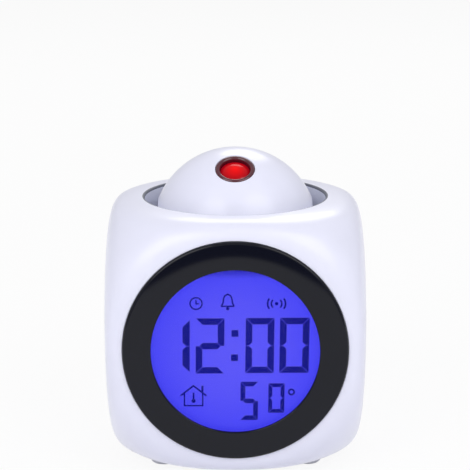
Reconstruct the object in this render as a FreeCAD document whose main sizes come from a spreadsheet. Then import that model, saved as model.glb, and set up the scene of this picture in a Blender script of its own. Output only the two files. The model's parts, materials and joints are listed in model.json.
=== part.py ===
import FreeCAD, Part
import math
import os
import re

import Sketcher
from FreeCAD import Placement, Rotation, Vector

# Projection alarm clock, in millimetres.
# A soft cube with a round display in front and a tilting projector ball in a well on top.
# +Z is up and the front faces -Y. The origin is the centre of the base, on the surface
# that the clock stands on.

doc = FreeCAD.newDocument("projection_clock")

# The driving sizes. Every size that can be chosen by itself is one cell.
SIZES = [
    # housing
    ("body_size", 78.0),
    ("edge_cut", 1.3543),
    ("rim_round", 3.0),
    ("wall", 2.2),
    ("corner_wall", 2.9),
    ("inner_bevel", 5.0),
    ("rear_depth", 9.0),
    # fits
    ("seat_gap", 0.3),
    ("slip_fit", 0.15),
    ("run_fit", 0.06),
    # feet
    ("foot_proud", 0.8),
    ("foot_sunk", 0.8),
    ("foot_radius", 4.0),
    ("foot_inset", 17.0),
    # projector ball, its well and its pins
    ("ball_radius", 25.7),
    ("ball_sink", 11.2),
    ("ball_base", 13.6),
    ("ball_flat", 23.6),
    ("ball_hollow", 14.0),
    ("lens_angle", 60.0),
    ("well_radius", 27.8),
    ("well_lip", 1.2),
    ("collar_wall", 1.6),
    ("collar_depth", 10.0),
    ("pin_radius", 3.0),
    ("pin_over", 0.2),
    ("cover_thick", 1.6),
    ("ring_radius", 5.9),
    ("ring_length", 6.0),
    ("ring_bevel", 0.5),
    ("lens_radius", 4.4),
    ("lens_thick", 1.6),
    ("lens_dome", 1.3),
    ("barrel_radius", 8.0),
    ("barrel_bore", 4.6),
    ("slide_size", 14.0),
    ("slide_thick", 1.8),
    ("lamp_radius", 2.5),
    ("lamp_length", 3.6),
    ("lamp_board_radius", 9.0),
    # yoke and its guides
    ("yoke_gap", 0.3),
    ("arm_thick", 2.4),
    ("arm_width", 10.0),
    ("yoke_drop", 2.7),
    ("yoke_thick", 2.2),
    ("yoke_depth", 18.0),
    ("press_travel", 1.5),
    ("guide_offset", 18.0),
    ("guide_radius", 2.0),
    ("clip_radius", 3.6),
    ("clip_thick", 0.8),
    ("clip_tail", 0.9),
    ("spring_wire", 0.6),
    ("spring_room", 3.8),
    ("chassis_thick", 2.0),
    ("chassis_depth", 40.0),
    ("bush_radius", 3.6),
    ("bush_length", 2.2),
    ("ledge_width", 3.0),
    ("switch_size", 6.0),
    ("switch_height", 2.0),
    ("plunger_radius", 1.5),
    ("plunger_entry", 0.2),
    # display
    ("bezel_width", 8.4),
    ("bezel_rise", 0.3),
    ("bezel_proud", 0.4),
    ("bezel_sunk", 1.2),
    ("bezel_bevel", 0.8),
    ("window_radius", 24.7),
    ("seat_lap", 2.6),
    ("crystal_lap", 2.3),
    ("crystal_thick", 1.2),
    ("crystal_sunk", 0.8),
    ("lcd_side_margin", 1.1),
    ("lcd_end_margin", 0.8),
    ("lcd_thick", 1.8),
    ("lcd_lip", 0.8),
    ("light_inset", 3.5),
    ("light_thick", 3.0),
    ("strip_inset", 1.0),
    ("strip_thick", 1.6),
    ("tray_wall", 1.2),
    ("tray_side", 2.8),
    ("tray_end", 5.0),
    ("tray_bevel", 4.0),
    ("ear_reach", 6.0),
    ("ear_height", 31.0),
    ("boss_radius", 2.2),
    ("boss_inset", 2.6),
    ("boss_spread", 12.0),
    ("peg_radius", 1.6),
    ("peg_offset", 21.0),
    # circuit boards
    ("board_thick", 1.6),
    ("board_stand", 1.2),
    ("board_side_inset", 1.8),
    ("board_end_inset", 1.8),
    ("chip_radius", 6.0),
    ("chip_height", 1.1),
    ("quartz_length", 6.0),
    ("quartz_radius", 1.0),
    ("cap_radius", 3.0),
    ("cap_length", 6.0),
    ("probe_radius", 1.2),
    ("probe_length", 3.0),
    # rear keys
    ("key_radius", 3.5),
    ("key_pitch", 10.0),
    ("key_drop", 15.0),
    ("key_proud", 1.2),
    ("key_round", 0.5),
    ("key_flange", 1.0),
    ("flange_thick", 0.8),
    ("key_travel", 1.0),
    ("key_stem", 1.7),
    ("key_switch_height", 3.4),
    ("key_room", 6.6),
    ("key_board_border", 3.0),
    ("key_board_height", 8.4),
    # batteries, bay and door
    ("cell_radius", 5.25),
    ("cell_length", 43.6),
    ("cell_nub", 0.9),
    ("cell_nub_radius", 1.9),
    ("cell_gap", 0.4),
    ("stud_height", 0.9),
    ("bay_wall", 1.2),
    ("bay_drop", 1.6),
    ("contact_thick", 0.4),
    ("contact_width", 8.0),
    ("spring_height", 2.2),
    ("spring_foot", 3.0),
    ("spring_tip", 1.5),
    ("door_width", 50.0),
    ("door_height", 34.0),
    ("door_thick", 2.0),
    ("hinge_radius", 0.6),
    ("hinge_reach", 1.1),
    ("tab_width", 8.0),
    ("tab_thick", 1.0),
    ("tab_reach", 2.4),
    ("grip_radius", 8.0),
    ("grip_depth", 0.8),
    ("grip_width", 14.0),
    # speaker
    ("speaker_radius", 14.0),
    ("speaker_rim", 1.2),
    ("speaker_height", 5.0),
    ("magnet_radius", 7.0),
    ("magnet_height", 3.2),
    ("speaker_ring", 1.4),
    ("sound_hole", 1.2),
    ("sound_pitch", 6.0),
]
SOUND_HOLES = 6
KEYS = 4
CELLS = 3

sheet = doc.addObject("Spreadsheet::Sheet", "sizes")
for row, (alias, value) in enumerate(SIZES, start=1):
    sheet.set("A%d" % row, alias)
    sheet.set("B%d" % row, str(value))
    sheet.setAlias("B%d" % row, alias)
doc.recompute()
CELLS_OF = {alias: "sizes." + alias for alias, value in SIZES}

# Sizes that follow from others, written once and used like cells.
FOLLOWING = [
    ("corner_ball", "sqrt(2) * body_size / 2 - edge_cut"),
    ("foot_offset", "body_size / 2 - foot_inset"),
    ("bezel_radius", "window_radius + bezel_width"),
    ("seat_hole", "bezel_radius - seat_lap"),
    ("crystal_radius", "window_radius + crystal_lap"),
    ("lcd_width", "2 * (window_radius + lcd_side_margin)"),
    ("lcd_height", "2 * (window_radius + lcd_end_margin)"),
    ("light_width", "lcd_width - 2 * lcd_lip"),
    ("light_height", "lcd_height - 2 * light_inset"),
    ("strip_width", "light_width - 2 * strip_inset"),
    ("tray_width", "light_width + 2 * tray_side"),
    ("tray_height", "light_height + 2 * tray_end"),
    ("board_width", "tray_width - 2 * board_side_inset"),
    ("board_height", "tray_height - 2 * board_end_inset"),
    ("boss_side", "tray_width / 2 + ear_reach - boss_inset"),
    ("bay_length", "cell_length + cell_nub + spring_height + stud_height + 2 * contact_thick"),
    ("key_board_y", "body_size / 2 - wall - key_room - board_thick"),
    ("key_boss_offset",
     "1.5 * key_pitch + key_radius + key_flange + boss_radius + seat_gap"),
    ("key_board_width", "2 * (key_boss_offset + key_board_border)"),
]


def size(formula):
    """A formula on the sheet, with each word that is an alias bound to its cell."""
    return "(" + re.sub(r"[a-z_]+", lambda w: CELLS_OF.get(w.group(), w.group()), formula) + ")"


for alias, formula in FOLLOWING:
    CELLS_OF[alias] = size(formula)


def number(expression):
    return float(sheet.evalExpression(str(expression)))


# Places that several pieces share, as formulas on the sheet.
half = size("body_size / 2")
mid_z = size("foot_proud + body_size / 2")
top_z = size("foot_proud + body_size")
floor_z = size("foot_proud + wall")
inner_x = size("body_size / 2 - wall")
split_y = size("body_size / 2 - rear_depth")
ball_z = size("foot_proud + body_size - ball_sink")
display_z = size("foot_proud + body_size / 2 + bezel_rise")
seat_y = size("bezel_sunk - body_size / 2")
crystal_y = f"({seat_y} - sizes.crystal_sunk + sizes.crystal_thick)"
lcd_front = size("wall + seat_gap - body_size / 2")
lcd_back = f"({lcd_front} + sizes.lcd_thick)"
light_back = f"({lcd_back} + sizes.light_thick)"
tray_back = f"({light_back} + sizes.tray_wall)"
board_front = f"({tray_back} + sizes.board_stand)"
board_back = f"({board_front} + sizes.board_thick)"
strip_z = size("light_height / 2 + strip_thick")
yoke_top = f"({ball_z} - sizes.ball_radius - sizes.yoke_drop)"
yoke_base = f"({yoke_top} - sizes.yoke_thick)"
chassis_top = f"({yoke_base} - sizes.spring_room)"
chassis_base = f"({chassis_top} - sizes.chassis_thick)"
bush_base = f"({chassis_base} - sizes.bush_length)"
arm_x = size("ball_flat + yoke_gap")
key_z = size("foot_proud + body_size - key_drop")
key_board_back = size("key_board_y + board_thick")
key_switch_top = f"({key_board_back} + sizes.key_switch_height)"
rear_inner = size("body_size / 2 - wall")
bay_z = size("foot_proud + body_size / 2 - bay_drop")
cell_pitch = size("2 * cell_radius + cell_gap")
bay_height = f"({CELLS} * {cell_pitch})"
door_y = size("body_size / 2 - door_thick")
bay_back = f"({door_y} - sizes.slip_fit - 2 * sizes.cell_radius - 2 * sizes.seat_gap)"
hinge_y = size("body_size / 2 - door_thick / 2")
door_base = f"({bay_z} - sizes.door_height / 2)"
hinge_z = f"({door_base} + sizes.door_thick / 2)"

UP = Rotation()
FRONT = Rotation(Vector(1, 0, 0), 90)
BACK = Rotation(Vector(1, 0, 0), -90)
RIGHT = Rotation(Vector(0, 1, 0), 90)
LEFT = Rotation(Vector(0, 1, 0), -90)
LENS = Rotation(Vector(1, 0, 0), 90 - number("sizes.lens_angle"))


def place(thing, at, turn=UP):
    """Put an object at three formulas, turned so that its own Z points along turn."""
    thing.Placement = Placement(Vector(*[number(a) for a in at]), turn)
    for axis, formula in zip("xyz", at):
        thing.setExpression("Placement.Base." + axis, str(formula))
    return thing


def bind(thing, **formulas):
    for name, formula in formulas.items():
        thing.setExpression(name, str(formula))
    return thing


def box(name, low, spans):
    """A box from its low corner and its three spans."""
    made = doc.addObject("Part::Box", name)
    bind(made, Length=spans[0], Width=spans[1], Height=spans[2])
    return place(made, low)


def centred_box(name, middle, spans):
    """A box centred on middle in X and Y, standing on middle in Z."""
    low = (f"{middle[0]} - {spans[0]} / 2", f"{middle[1]} - {spans[1]} / 2", middle[2])
    return box(name, low, spans)


def rod(name, radius, length, at, turn=UP):
    made = doc.addObject("Part::Cylinder", name)
    bind(made, Radius=radius, Height=length)
    return place(made, at, turn)


def join(label, things):
    made = doc.addObject("Part::MultiFuse", label)
    made.Shapes = things
    return made


def cut(label, base, tools):
    made = doc.addObject("Part::Cut", label)
    made.Base = base
    made.Tool = tools[0] if len(tools) == 1 else join(label + "_openings", tools)
    return made


def common(label, base, tool):
    made = doc.addObject("Part::Common", label)
    made.Base = base
    made.Tool = tool
    return made


def sketch_on(body, name, role, offset=None):
    """A sketch on one of the body's own origin planes, lifted by offset."""
    sketch = body.newObject("Sketcher::SketchObject", name)
    plane = [f for f in body.Origin.OriginFeatures if f.Role == role][0]
    sketch.AttachmentSupport = [(plane, "")]
    sketch.MapMode = "FlatFace"
    if offset is not None:
        sketch.setExpression("AttachmentOffset.Base.z", str(offset))
    return sketch


def pin_point(sketch, geometry, point, x, y):
    for kind, formula in (("DistanceX", x), ("DistanceY", y)):
        value = number(formula)
        index = sketch.addConstraint(Sketcher.Constraint(kind, -1, 1, geometry, point, value))
        sketch.setExpression("Constraints[%d]" % index, str(formula))


def draw_outline(sketch, corners):
    """A closed outline. A corner is (x, y), or (x, y, radius, side) to reach it by an arc."""
    first = sketch.GeometryCount
    spots = [Vector(number(c[0]), number(c[1]), 0) for c in corners]
    ends = []
    for i, start in enumerate(spots):
        target = corners[(i + 1) % len(corners)]
        stop = spots[(i + 1) % len(spots)]
        if len(target) == 2:
            sketch.addGeometry(Part.LineSegment(start, stop), False)
            ends.append((1, 2))
            continue
        radius = number(target[2])
        chord = stop - start
        across = Vector(-chord.y, chord.x, 0).normalize()
        lift = math.sqrt(radius ** 2 - (chord.Length / 2) ** 2)
        centre = (start + stop) * 0.5 + across * (lift * target[3])
        turns = [math.atan2(p.y - centre.y, p.x - centre.x) for p in (start, stop)]
        if target[3] > 0:
            order = (1, 2)
        else:
            order = (2, 1)
            turns.reverse()
        circle = Part.Circle(centre, Vector(0, 0, 1), radius)
        sketch.addGeometry(Part.ArcOfCircle(circle, turns[0], turns[1]), False)
        ends.append(order)
    count = len(corners)
    for i in range(count):
        j = (i + 1) % count
        sketch.addConstraint(
            Sketcher.Constraint("Coincident", first + i, ends[i][1], first + j, ends[j][0]))
    for i, corner in enumerate(corners):
        pin_point(sketch, first + i, ends[i][0], corner[0], corner[1])
        if len(corner) == 4:
            arc = first + (i - 1) % count
            index = sketch.addConstraint(
                Sketcher.Constraint("Radius", arc, number(corner[2])))
            sketch.setExpression("Constraints[%d]" % index, str(corner[2]))


def draw_circle(sketch, x, y, radius):
    centre = Vector(number(x), number(y), 0)
    circle = sketch.addGeometry(Part.Circle(centre, Vector(0, 0, 1), number(radius)), False)
    index = sketch.addConstraint(Sketcher.Constraint("Radius", circle, number(radius)))
    sketch.setExpression("Constraints[%d]" % index, str(radius))
    pin_point(sketch, circle, 3, x, y)


def rectangle(x, y, width, height):
    """The four corners of a rectangle centred on x, y."""
    signs = ((-1, -1), (1, -1), (1, 1), (-1, 1))
    return [(f"{x} + {sx} * {width} / 2", f"{y} + {sy} * {height} / 2") for sx, sy in signs]


def turned(label, profile, at, turn=UP):
    """A body turned about its own Z from a profile of (radius, height) corners."""
    body = doc.addObject("PartDesign::Body", label)
    sketch = sketch_on(body, label + "_profile", "XZ_Plane")
    draw_outline(sketch, profile)
    spin = body.newObject("PartDesign::Revolution", label + "_turn")
    spin.Profile = sketch
    spin.ReferenceAxis = (sketch, ["V_Axis"])
    spin.Angle = 360
    return place(body, at, turn)


def pad(body, name, role, draw, length, offset=None, back=False):
    """Add material from a sketch; draw fills the sketch."""
    sketch = sketch_on(body, name + "_sketch", role, offset)
    draw(sketch)
    made = body.newObject("PartDesign::Pad", name)
    made.Profile = sketch
    made.Reversed = back
    return bind(made, Length=length)


def pocket(body, name, role, draw, length, offset=None, back=False):
    """Cut material from the sketch against its normal; the volume has to drop."""
    doc.recompute()
    before = body.Shape.Volume
    sketch = sketch_on(body, name + "_sketch", role, offset)
    draw(sketch)
    made = body.newObject("PartDesign::Pocket", name)
    made.Profile = sketch
    made.Reversed = back
    bind(made, Length=length)
    doc.recompute()
    if body.Shape.Volume >= before:
        raise RuntimeError(name + " cuts nothing")
    return made


def block(label, corners, thickness, at, turn=UP):
    """A body padded from one outline."""
    body = doc.addObject("PartDesign::Body", label)
    pad(body, label + "_pad", "XY_Plane", lambda s: draw_outline(s, corners), thickness)
    return place(body, at, turn)


pieces = []


def keep(*made):
    pieces.extend(made)


# Housing blank: a cube whose corners follow a ball, with a small round on every rim.
# One rim arc is turned into a cap, six caps close the ball's eight corner patches.
def soft_cube():
    face = number(half)
    ball = number(size("corner_ball"))
    rim = number("sizes.rim_round")
    arc_height = face - rim
    meet = math.acos(arc_height / (ball - rim))
    arc_radius = (ball - rim) * math.sin(meet)

    def on_arc(angle):
        return Vector(arc_radius + rim * math.sin(angle), 0, arc_height + rim * math.cos(angle))

    arc = Part.Arc(on_arc(0), on_arc(meet / 2), on_arc(meet)).toShape()
    flat = Part.LineSegment(Vector(0, 0, face), on_arc(0)).toShape()
    cap = Part.Wire([flat, arc]).revolve(Vector(0, 0, 0), Vector(0, 0, 1), 360)
    cut_at = ball * math.cos(meet)
    cube = Part.makeBox(2 * cut_at, 2 * cut_at, 2 * cut_at, Vector(-cut_at, -cut_at, -cut_at))
    patches = Part.makeSphere(ball).common(cube).Faces
    faces = [patch for patch in patches if isinstance(patch.Surface, Part.Sphere)]
    for x, y, z in ((0, 0, 1), (0, 0, -1), (1, 0, 0), (-1, 0, 0), (0, 1, 0), (0, -1, 0)):
        side = cap.copy()
        side.Placement = Placement(Vector(0, 0, 0), Rotation(Vector(0, 0, 1), Vector(x, y, z)))
        faces += side.Faces
    shell = Part.makeShell(faces)
    shell.sewShape()
    solid = Part.makeSolid(shell)
    solid.fix(1e-4, 1e-4, 1e-3)
    if solid.Volume < 0:
        solid.reverse()
    return solid


# Housing cavity: flat walls inside the soft cube, bevelled along its edges and corners.
def cavity():
    reach = number(inner_x)
    cube = Part.makeBox(2 * reach, 2 * reach, 2 * reach, Vector(-reach, -reach, -reach))
    room = cube.makeChamfer(number("sizes.inner_bevel"), cube.Edges)
    point = math.sqrt(3) * (number(size("corner_ball")) - number("sizes.corner_wall"))
    tips = [Vector(point, 0, 0), Vector(0, point, 0), Vector(0, 0, point)]
    faces = []
    for sx in (-1, 1):
        for sy in (-1, 1):
            for sz in (-1, 1):
                corners = [tips[0] * sx, tips[1] * sy, tips[2] * sz]
                faces.append(Part.Face(Part.makePolygon(corners + corners[:1])))
    diamond = Part.makeSolid(Part.makeShell(faces))
    if diamond.Volume < 0:
        diamond.reverse()
    return room.common(diamond)


blank = doc.addObject("Part::Feature", "housing_blank")
blank.Shape = soft_cube()
place(blank, (0, 0, mid_z))
room = doc.addObject("Part::Feature", "housing_cavity")
room.Shape = cavity()
place(room, (0, 0, mid_z))
hollow = cut("housing_hollow", blank, [room])

reach = size("body_size + 20")
front_half = box("front_half", (f"-{reach} / 2", f"{split_y} - {reach}", f"-{reach} / 4"),
                 (reach, reach, f"2 * {reach}"))
rear_half = box("rear_half", (f"-{reach} / 2", split_y, f"-{reach} / 4"),
                (reach, reach, f"2 * {reach}"))

# Main shell: display recess, well collar, speaker ring, tray bosses and chassis ledges.
front_blank = common("front_blank", hollow, front_half)
collar_top = f"({top_z} - sizes.wall / 2)"
collar_base = f"({top_z} - sizes.collar_depth)"
added = [
    rod("collar", size("well_radius + collar_wall"), f"{collar_top} - {collar_base}",
        (0, 0, collar_base)),
    rod("speaker_fence", size("speaker_radius + slip_fit + speaker_ring"),
        size("wall / 2 + 2 * speaker_rim"), (0, 0, size("foot_proud + wall / 2"))),
]
for side in (-1, 1):
    for level in (-1, 1):
        added.append(rod(f"tray_boss_{side + 1}{level + 1}", "sizes.boss_radius",
                         f"{light_back} + {half} - sizes.wall / 2",
                         (size(f"{side} * boss_side"), size("wall / 2 - body_size / 2"),
                          f"{display_z} + {level} * sizes.boss_spread"), BACK))
    ledge_middle = f"{side} * ({inner_x} - sizes.ledge_width / 2 + sizes.wall / 4)"
    added.append(centred_box(f"ledge_{side + 1}",
                             (ledge_middle, 0, f"{chassis_base} - sizes.chassis_thick"),
                             (size("ledge_width + wall / 2"), size("chassis_depth - 4"),
                              "sizes.chassis_thick")))
full_front = join("front_with_ribs", [front_blank] + added)

well = doc.addObject("PartDesign::Body", "well_cutter")
well_sketch = sketch_on(well, "well_profile", "XZ_Plane")
draw_outline(well_sketch, [
    (0, 0),
    ("sizes.well_radius", 0),
    ("sizes.well_radius", size("2 * collar_depth - well_lip")),
    (size("well_radius + well_lip"), size("2 * collar_depth")),
    (size("well_radius + well_lip"), size("2.5 * collar_depth")),
    (0, size("2.5 * collar_depth"))])
well_turn = well.newObject("PartDesign::Revolution", "well_turn")
well_turn.Profile = well_sketch
well_turn.ReferenceAxis = (well_sketch, ["V_Axis"])
well_turn.Angle = 360
place(well, (0, 0, f"{top_z} - 2 * sizes.collar_depth"))

openings = [
    well,
    rod("bezel_recess", size("bezel_radius + slip_fit"), size("2 * bezel_sunk"),
        (0, seat_y, display_z), FRONT),
    rod("display_hole", size("seat_hole"), size("body_size / 4"),
        (0, size("2 * wall - body_size / 2"), display_z), FRONT),
    rod("speaker_seat", size("speaker_radius + slip_fit"), size("4 * speaker_rim"),
        (0, 0, floor_z)),
]
for sx in (-1, 1):
    for sy in (-1, 1):
        openings.append(rod(f"foot_pocket_{sx + 1}{sy + 1}", size("foot_radius + slip_fit"),
                            "2 * sizes.foot_sunk",
                            (size(f"{sx} * foot_offset"), size(f"{sy} * foot_offset"),
                             size("foot_proud - foot_sunk"))))
openings.append(rod("sound_hole_middle", "sizes.sound_hole", f"2 * {floor_z}",
                    (0, 0, f"-{floor_z} / 2")))
for i in range(SOUND_HOLES):
    angle = 360.0 * i / SOUND_HOLES
    openings.append(rod(f"sound_hole_{i}", "sizes.sound_hole", f"2 * {floor_z}",
                        (f"sizes.sound_pitch * cos({angle} deg)",
                         f"sizes.sound_pitch * sin({angle} deg)", f"-{floor_z} / 2")))
main_shell = cut("main_shell", full_front, openings)
keep(main_shell)

# Rear shell: battery bay, door recess with its hinge holes, key holes and board bosses.
rear_blank = common("rear_blank", hollow, rear_half)
bay_outer = (size("bay_length + 2 * bay_wall"), f"({rear_inner} + sizes.wall / 2 - {bay_back}"
             " + sizes.bay_wall)", f"({bay_height} + 2 * sizes.bay_wall)")
bay_box = box("bay_box", (f"-{bay_outer[0]} / 2", f"{bay_back} - sizes.bay_wall",
                          f"{bay_z} - {bay_outer[2]} / 2"), bay_outer)
ribs = [bay_box]
for side in (-1, 1):
    ribs.append(rod(f"key_boss_{side + 1}", "sizes.boss_radius",
                    f"{rear_inner} + sizes.wall / 2 - {key_board_back}",
                    (size(f"{side} * key_boss_offset"), key_board_back, key_z), BACK))
full_rear = join("rear_with_ribs", [rear_blank] + ribs)
openings = [
    box("bay_room", (size("-bay_length / 2"), bay_back, f"{bay_z} - {bay_height} / 2"),
        (size("bay_length"), half, bay_height)),
    box("door_recess", (size("-door_width / 2 - seat_gap"), f"{door_y} - sizes.slip_fit",
                        f"{door_base} - sizes.seat_gap"),
        (size("door_width + 2 * seat_gap"), half, size("door_height + 2 * seat_gap"))),
    rod("hinge_holes", size("hinge_radius + run_fit"),
        size("door_width + 2 * (seat_gap + hinge_reach)"),
        (size("-door_width / 2 - seat_gap - hinge_reach"), hinge_y, hinge_z), RIGHT),
]
for i in range(KEYS):
    openings.append(rod(f"key_hole_{i + 1}", size("key_radius + slip_fit"), half,
                        (f"({i} - {(KEYS - 1) / 2}) * sizes.key_pitch",
                         f"{rear_inner} - sizes.wall / 2", key_z), BACK))
rear_shell = cut("rear_shell", full_rear, openings)
keep(rear_shell)

# Feet: rubber pads pressed into round pockets of the floor.
for sy, end in ((-1, "front"), (1, "rear")):
    for sx, side in ((-1, "left"), (1, "right")):
        height = size("foot_proud + foot_sunk")
        keep(turned(f"foot_{end}_{side}", [
            (0, 0),
            (size("foot_radius - foot_proud / 2"), 0),
            ("sizes.foot_radius", size("foot_proud / 2")),
            ("sizes.foot_radius", height),
            (0, height)],
            (size(f"{sx} * foot_offset"), size(f"{sy} * foot_offset"), 0)))

# Display: black ring, clear crystal, liquid crystal glass, backlight, contact strips, tray.
ring_height = size("bezel_sunk + bezel_proud")
keep(turned("bezel_ring", [
    ("sizes.window_radius", "sizes.crystal_sunk"),
    (size("crystal_radius + slip_fit"), "sizes.crystal_sunk"),
    (size("crystal_radius + slip_fit"), 0),
    (size("bezel_radius"), 0),
    (size("bezel_radius"), f"({ring_height} - sizes.bezel_bevel)"),
    (size("bezel_radius - bezel_bevel"), ring_height),
    (size("window_radius + bezel_bevel / 2"), ring_height),
    ("sizes.window_radius", f"({ring_height} - sizes.bezel_bevel / 2)")],
    (0, seat_y, display_z), FRONT))
keep(turned("crystal", [
    (0, 0),
    (size("crystal_radius"), 0),
    (size("crystal_radius"), "sizes.crystal_thick"),
    (0, "sizes.crystal_thick")],
    (0, crystal_y, display_z), FRONT))
keep(block("lcd_glass", rectangle(0, 0, size("lcd_width"), size("lcd_height")),
           "sizes.lcd_thick", (0, lcd_back, display_z), FRONT))
keep(block("backlight_panel", rectangle(0, 0, size("light_width"), size("light_height")),
           "sizes.light_thick", (0, light_back, display_z), FRONT))
for sign, end in ((1, "top"), (-1, "bottom")):
    keep(block(f"contact_strip_{end}",
               rectangle(0, 0, size("strip_width"), "sizes.strip_thick"),
               f"{board_front} - {lcd_back}",
               (0, board_front, f"{display_z} + {sign} * {strip_z}"), FRONT))


def tray_outline():
    wide = size("tray_width / 2")
    tall = size("tray_height / 2")
    bevel = "sizes.tray_bevel"
    return [
        (f"-{wide} + {bevel}", f"-{tall}"), (f"{wide} - {bevel}", f"-{tall}"),
        (wide, f"-{tall} + {bevel}"), (wide, f"{tall} - {bevel}"),
        (f"{wide} - {bevel}", tall), (f"-{wide} + {bevel}", tall),
        (f"-{wide}", f"{tall} - {bevel}"), (f"-{wide}", f"-{tall} + {bevel}")]


tray_depth = f"({tray_back} - {lcd_back})"
tray = block("lcd_tray", tray_outline(), tray_depth, (0, tray_back, display_z), FRONT)
pad(tray, "tray_ears", "XY_Plane",
    lambda s: draw_outline(s, rectangle(0, 0, size("tray_width + 2 * ear_reach"),
                                        "sizes.ear_height")), "sizes.tray_wall")
pad(tray, "tray_pegs", "XY_Plane",
    lambda s: [draw_circle(s, f"{sx} * sizes.peg_offset", f"{sy} * sizes.peg_offset",
                           "sizes.peg_radius") for sx in (-1, 1) for sy in (-1, 1)],
    "sizes.board_stand", back=True)
pocket(tray, "tray_room", "XY_Plane",
       lambda s: draw_outline(s, rectangle(0, 0, size("light_width + slip_fit"),
                                           size("light_height + slip_fit"))),
       f"{tray_depth} - sizes.tray_wall", offset=tray_depth)
pocket(tray, "tray_slots", "XY_Plane",
       lambda s: [draw_outline(s, rectangle(0, f"{sign} * {strip_z}",
                                            size("strip_width + 2 * slip_fit"),
                                            size("strip_thick + 2 * slip_fit")))
                  for sign in (-1, 1)], f"2 * {tray_depth}", offset=tray_depth)
keep(tray)

# Main board behind the tray, with the parts soldered on its rear side.
keep(block("main_board", rectangle(0, 0, size("board_width"), size("board_height")),
           "sizes.board_thick", (0, board_back, display_z), FRONT))
board_end = f"({display_z} - {size('board_height')} / 2)"
low_z = f"({display_z} - {size('board_height')} / 4)"
keep(turned("chip_cap", [
    (0, 0),
    ("sizes.chip_radius", 0),
    (size("chip_radius - chip_height"), "sizes.chip_height"),
    (0, "sizes.chip_height")],
    (0, board_back, low_z), BACK))
keep(rod("quartz_can", "sizes.quartz_radius", "sizes.quartz_length",
         (size("2 * chip_radius"), f"{board_back} + sizes.quartz_radius", low_z)))
keep(rod("capacitor", "sizes.cap_radius", "sizes.cap_length",
         (size("-2 * chip_radius"), board_back, low_z), BACK))
keep(rod("temperature_probe", "sizes.probe_radius", "sizes.probe_length",
         (size("-board_width / 2 + 2 * probe_radius"), board_back,
          f"{board_end} + 2 * sizes.probe_radius"), BACK))

# Speaker in the ring on the floor, facing down through the sound holes.
keep(turned("speaker_basket", [
    ("sizes.magnet_radius", size("speaker_height - speaker_rim")),
    (size("speaker_radius - 2 * speaker_rim"), 0),
    ("sizes.speaker_radius", 0),
    ("sizes.speaker_radius", "sizes.speaker_rim"),
    (size("speaker_radius - 2 * speaker_rim"), "sizes.speaker_rim"),
    (size("magnet_radius + speaker_rim"), "sizes.speaker_height"),
    (0, "sizes.speaker_height"),
    (0, size("speaker_height - speaker_rim"))],
    (0, 0, floor_z)))
keep(rod("speaker_magnet", "sizes.magnet_radius", "sizes.magnet_height",
         (0, 0, f"{floor_z} + sizes.speaker_height")))

# Chassis: the shelf that guides the yoke and carries the snooze and light switch.
chassis_blank = join("chassis_blank", [
    centred_box("chassis_shelf", (0, 0, chassis_base),
                (f"2 * ({inner_x} - sizes.seat_gap)", "sizes.chassis_depth",
                 "sizes.chassis_thick"))]
    + [rod(f"chassis_bush_{side + 1}", "sizes.bush_radius",
           size("bush_length + chassis_thick / 2"),
           (f"{side} * sizes.guide_offset", 0, bush_base)) for side in (-1, 1)])
chassis = cut("chassis", chassis_blank, [
    rod(f"guide_bore_{side + 1}", size("guide_radius + run_fit"),
        size("2 * (bush_length + chassis_thick)"),
        (f"{side} * sizes.guide_offset", 0, f"{bush_base} - sizes.bush_length / 2"))
    for side in (-1, 1)])
keep(chassis)
keep(cut("snooze_switch",
         centred_box("snooze_switch_case", (0, 0, chassis_top),
                     ("sizes.switch_size", "sizes.switch_size", "sizes.switch_height")),
         [rod("snooze_switch_bore", size("plunger_radius + slip_fit"),
              "2 * sizes.switch_height", (0, 0, chassis_top))]))

# Yoke: the fork that carries the ball and presses down on the switch.
guide_base = f"({bush_base} - sizes.seat_gap - sizes.clip_thick - sizes.clip_tail)"
fork = [
    centred_box("yoke_plate", (0, 0, yoke_base),
                (f"2 * ({arm_x} + sizes.arm_thick)", "sizes.yoke_depth", "sizes.yoke_thick")),
    rod("yoke_plunger", "sizes.plunger_radius",
        f"{yoke_base} + sizes.yoke_thick / 2 - {chassis_top} - sizes.switch_height"
        " + sizes.plunger_entry",
        (0, 0, f"{chassis_top} + sizes.switch_height - sizes.plunger_entry")),
]
for side in (-1, 1):
    middle = f"{side} * ({arm_x} + sizes.arm_thick / 2)"
    fork.append(centred_box(f"yoke_arm_{side + 1}", (middle, 0, yoke_base),
                            ("sizes.arm_thick", "sizes.arm_width",
                             f"({ball_z} - {yoke_base})")))
    fork.append(rod(f"yoke_eye_{side + 1}", size("arm_width / 2"), "sizes.arm_thick",
                    (f"{middle} - sizes.arm_thick / 2", 0, ball_z), RIGHT))
    fork.append(rod(f"yoke_guide_{side + 1}", "sizes.guide_radius",
                    f"{yoke_top} - {guide_base} - sizes.yoke_thick / 2",
                    (f"{side} * sizes.guide_offset", 0, guide_base)))
yoke = cut("yoke", join("yoke_blank", fork), [
    rod("yoke_pin_bores", size("pin_radius + run_fit"),
        f"4 * ({arm_x} + sizes.arm_thick)",
        (f"-2 * ({arm_x} + sizes.arm_thick)", 0, ball_z), RIGHT)])
keep(yoke)
for side, hand in ((-1, "left"), (1, "right")):
    spot = f"{side} * sizes.guide_offset"
    keep(turned(f"guide_clip_{hand}", [
        ("sizes.guide_radius", 0),
        ("sizes.clip_radius", 0),
        ("sizes.clip_radius", "sizes.clip_thick"),
        ("sizes.guide_radius", "sizes.clip_thick")],
        (spot, 0, f"{guide_base} + sizes.clip_tail")))
    keep(turned(f"return_spring_{hand}", [
        (size("guide_radius + seat_gap"), 0),
        (size("guide_radius + seat_gap + spring_wire"), 0),
        (size("guide_radius + seat_gap + spring_wire"), "sizes.spring_room"),
        (size("guide_radius + seat_gap"), "sizes.spring_room")],
        (spot, 0, chassis_top)))

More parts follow.
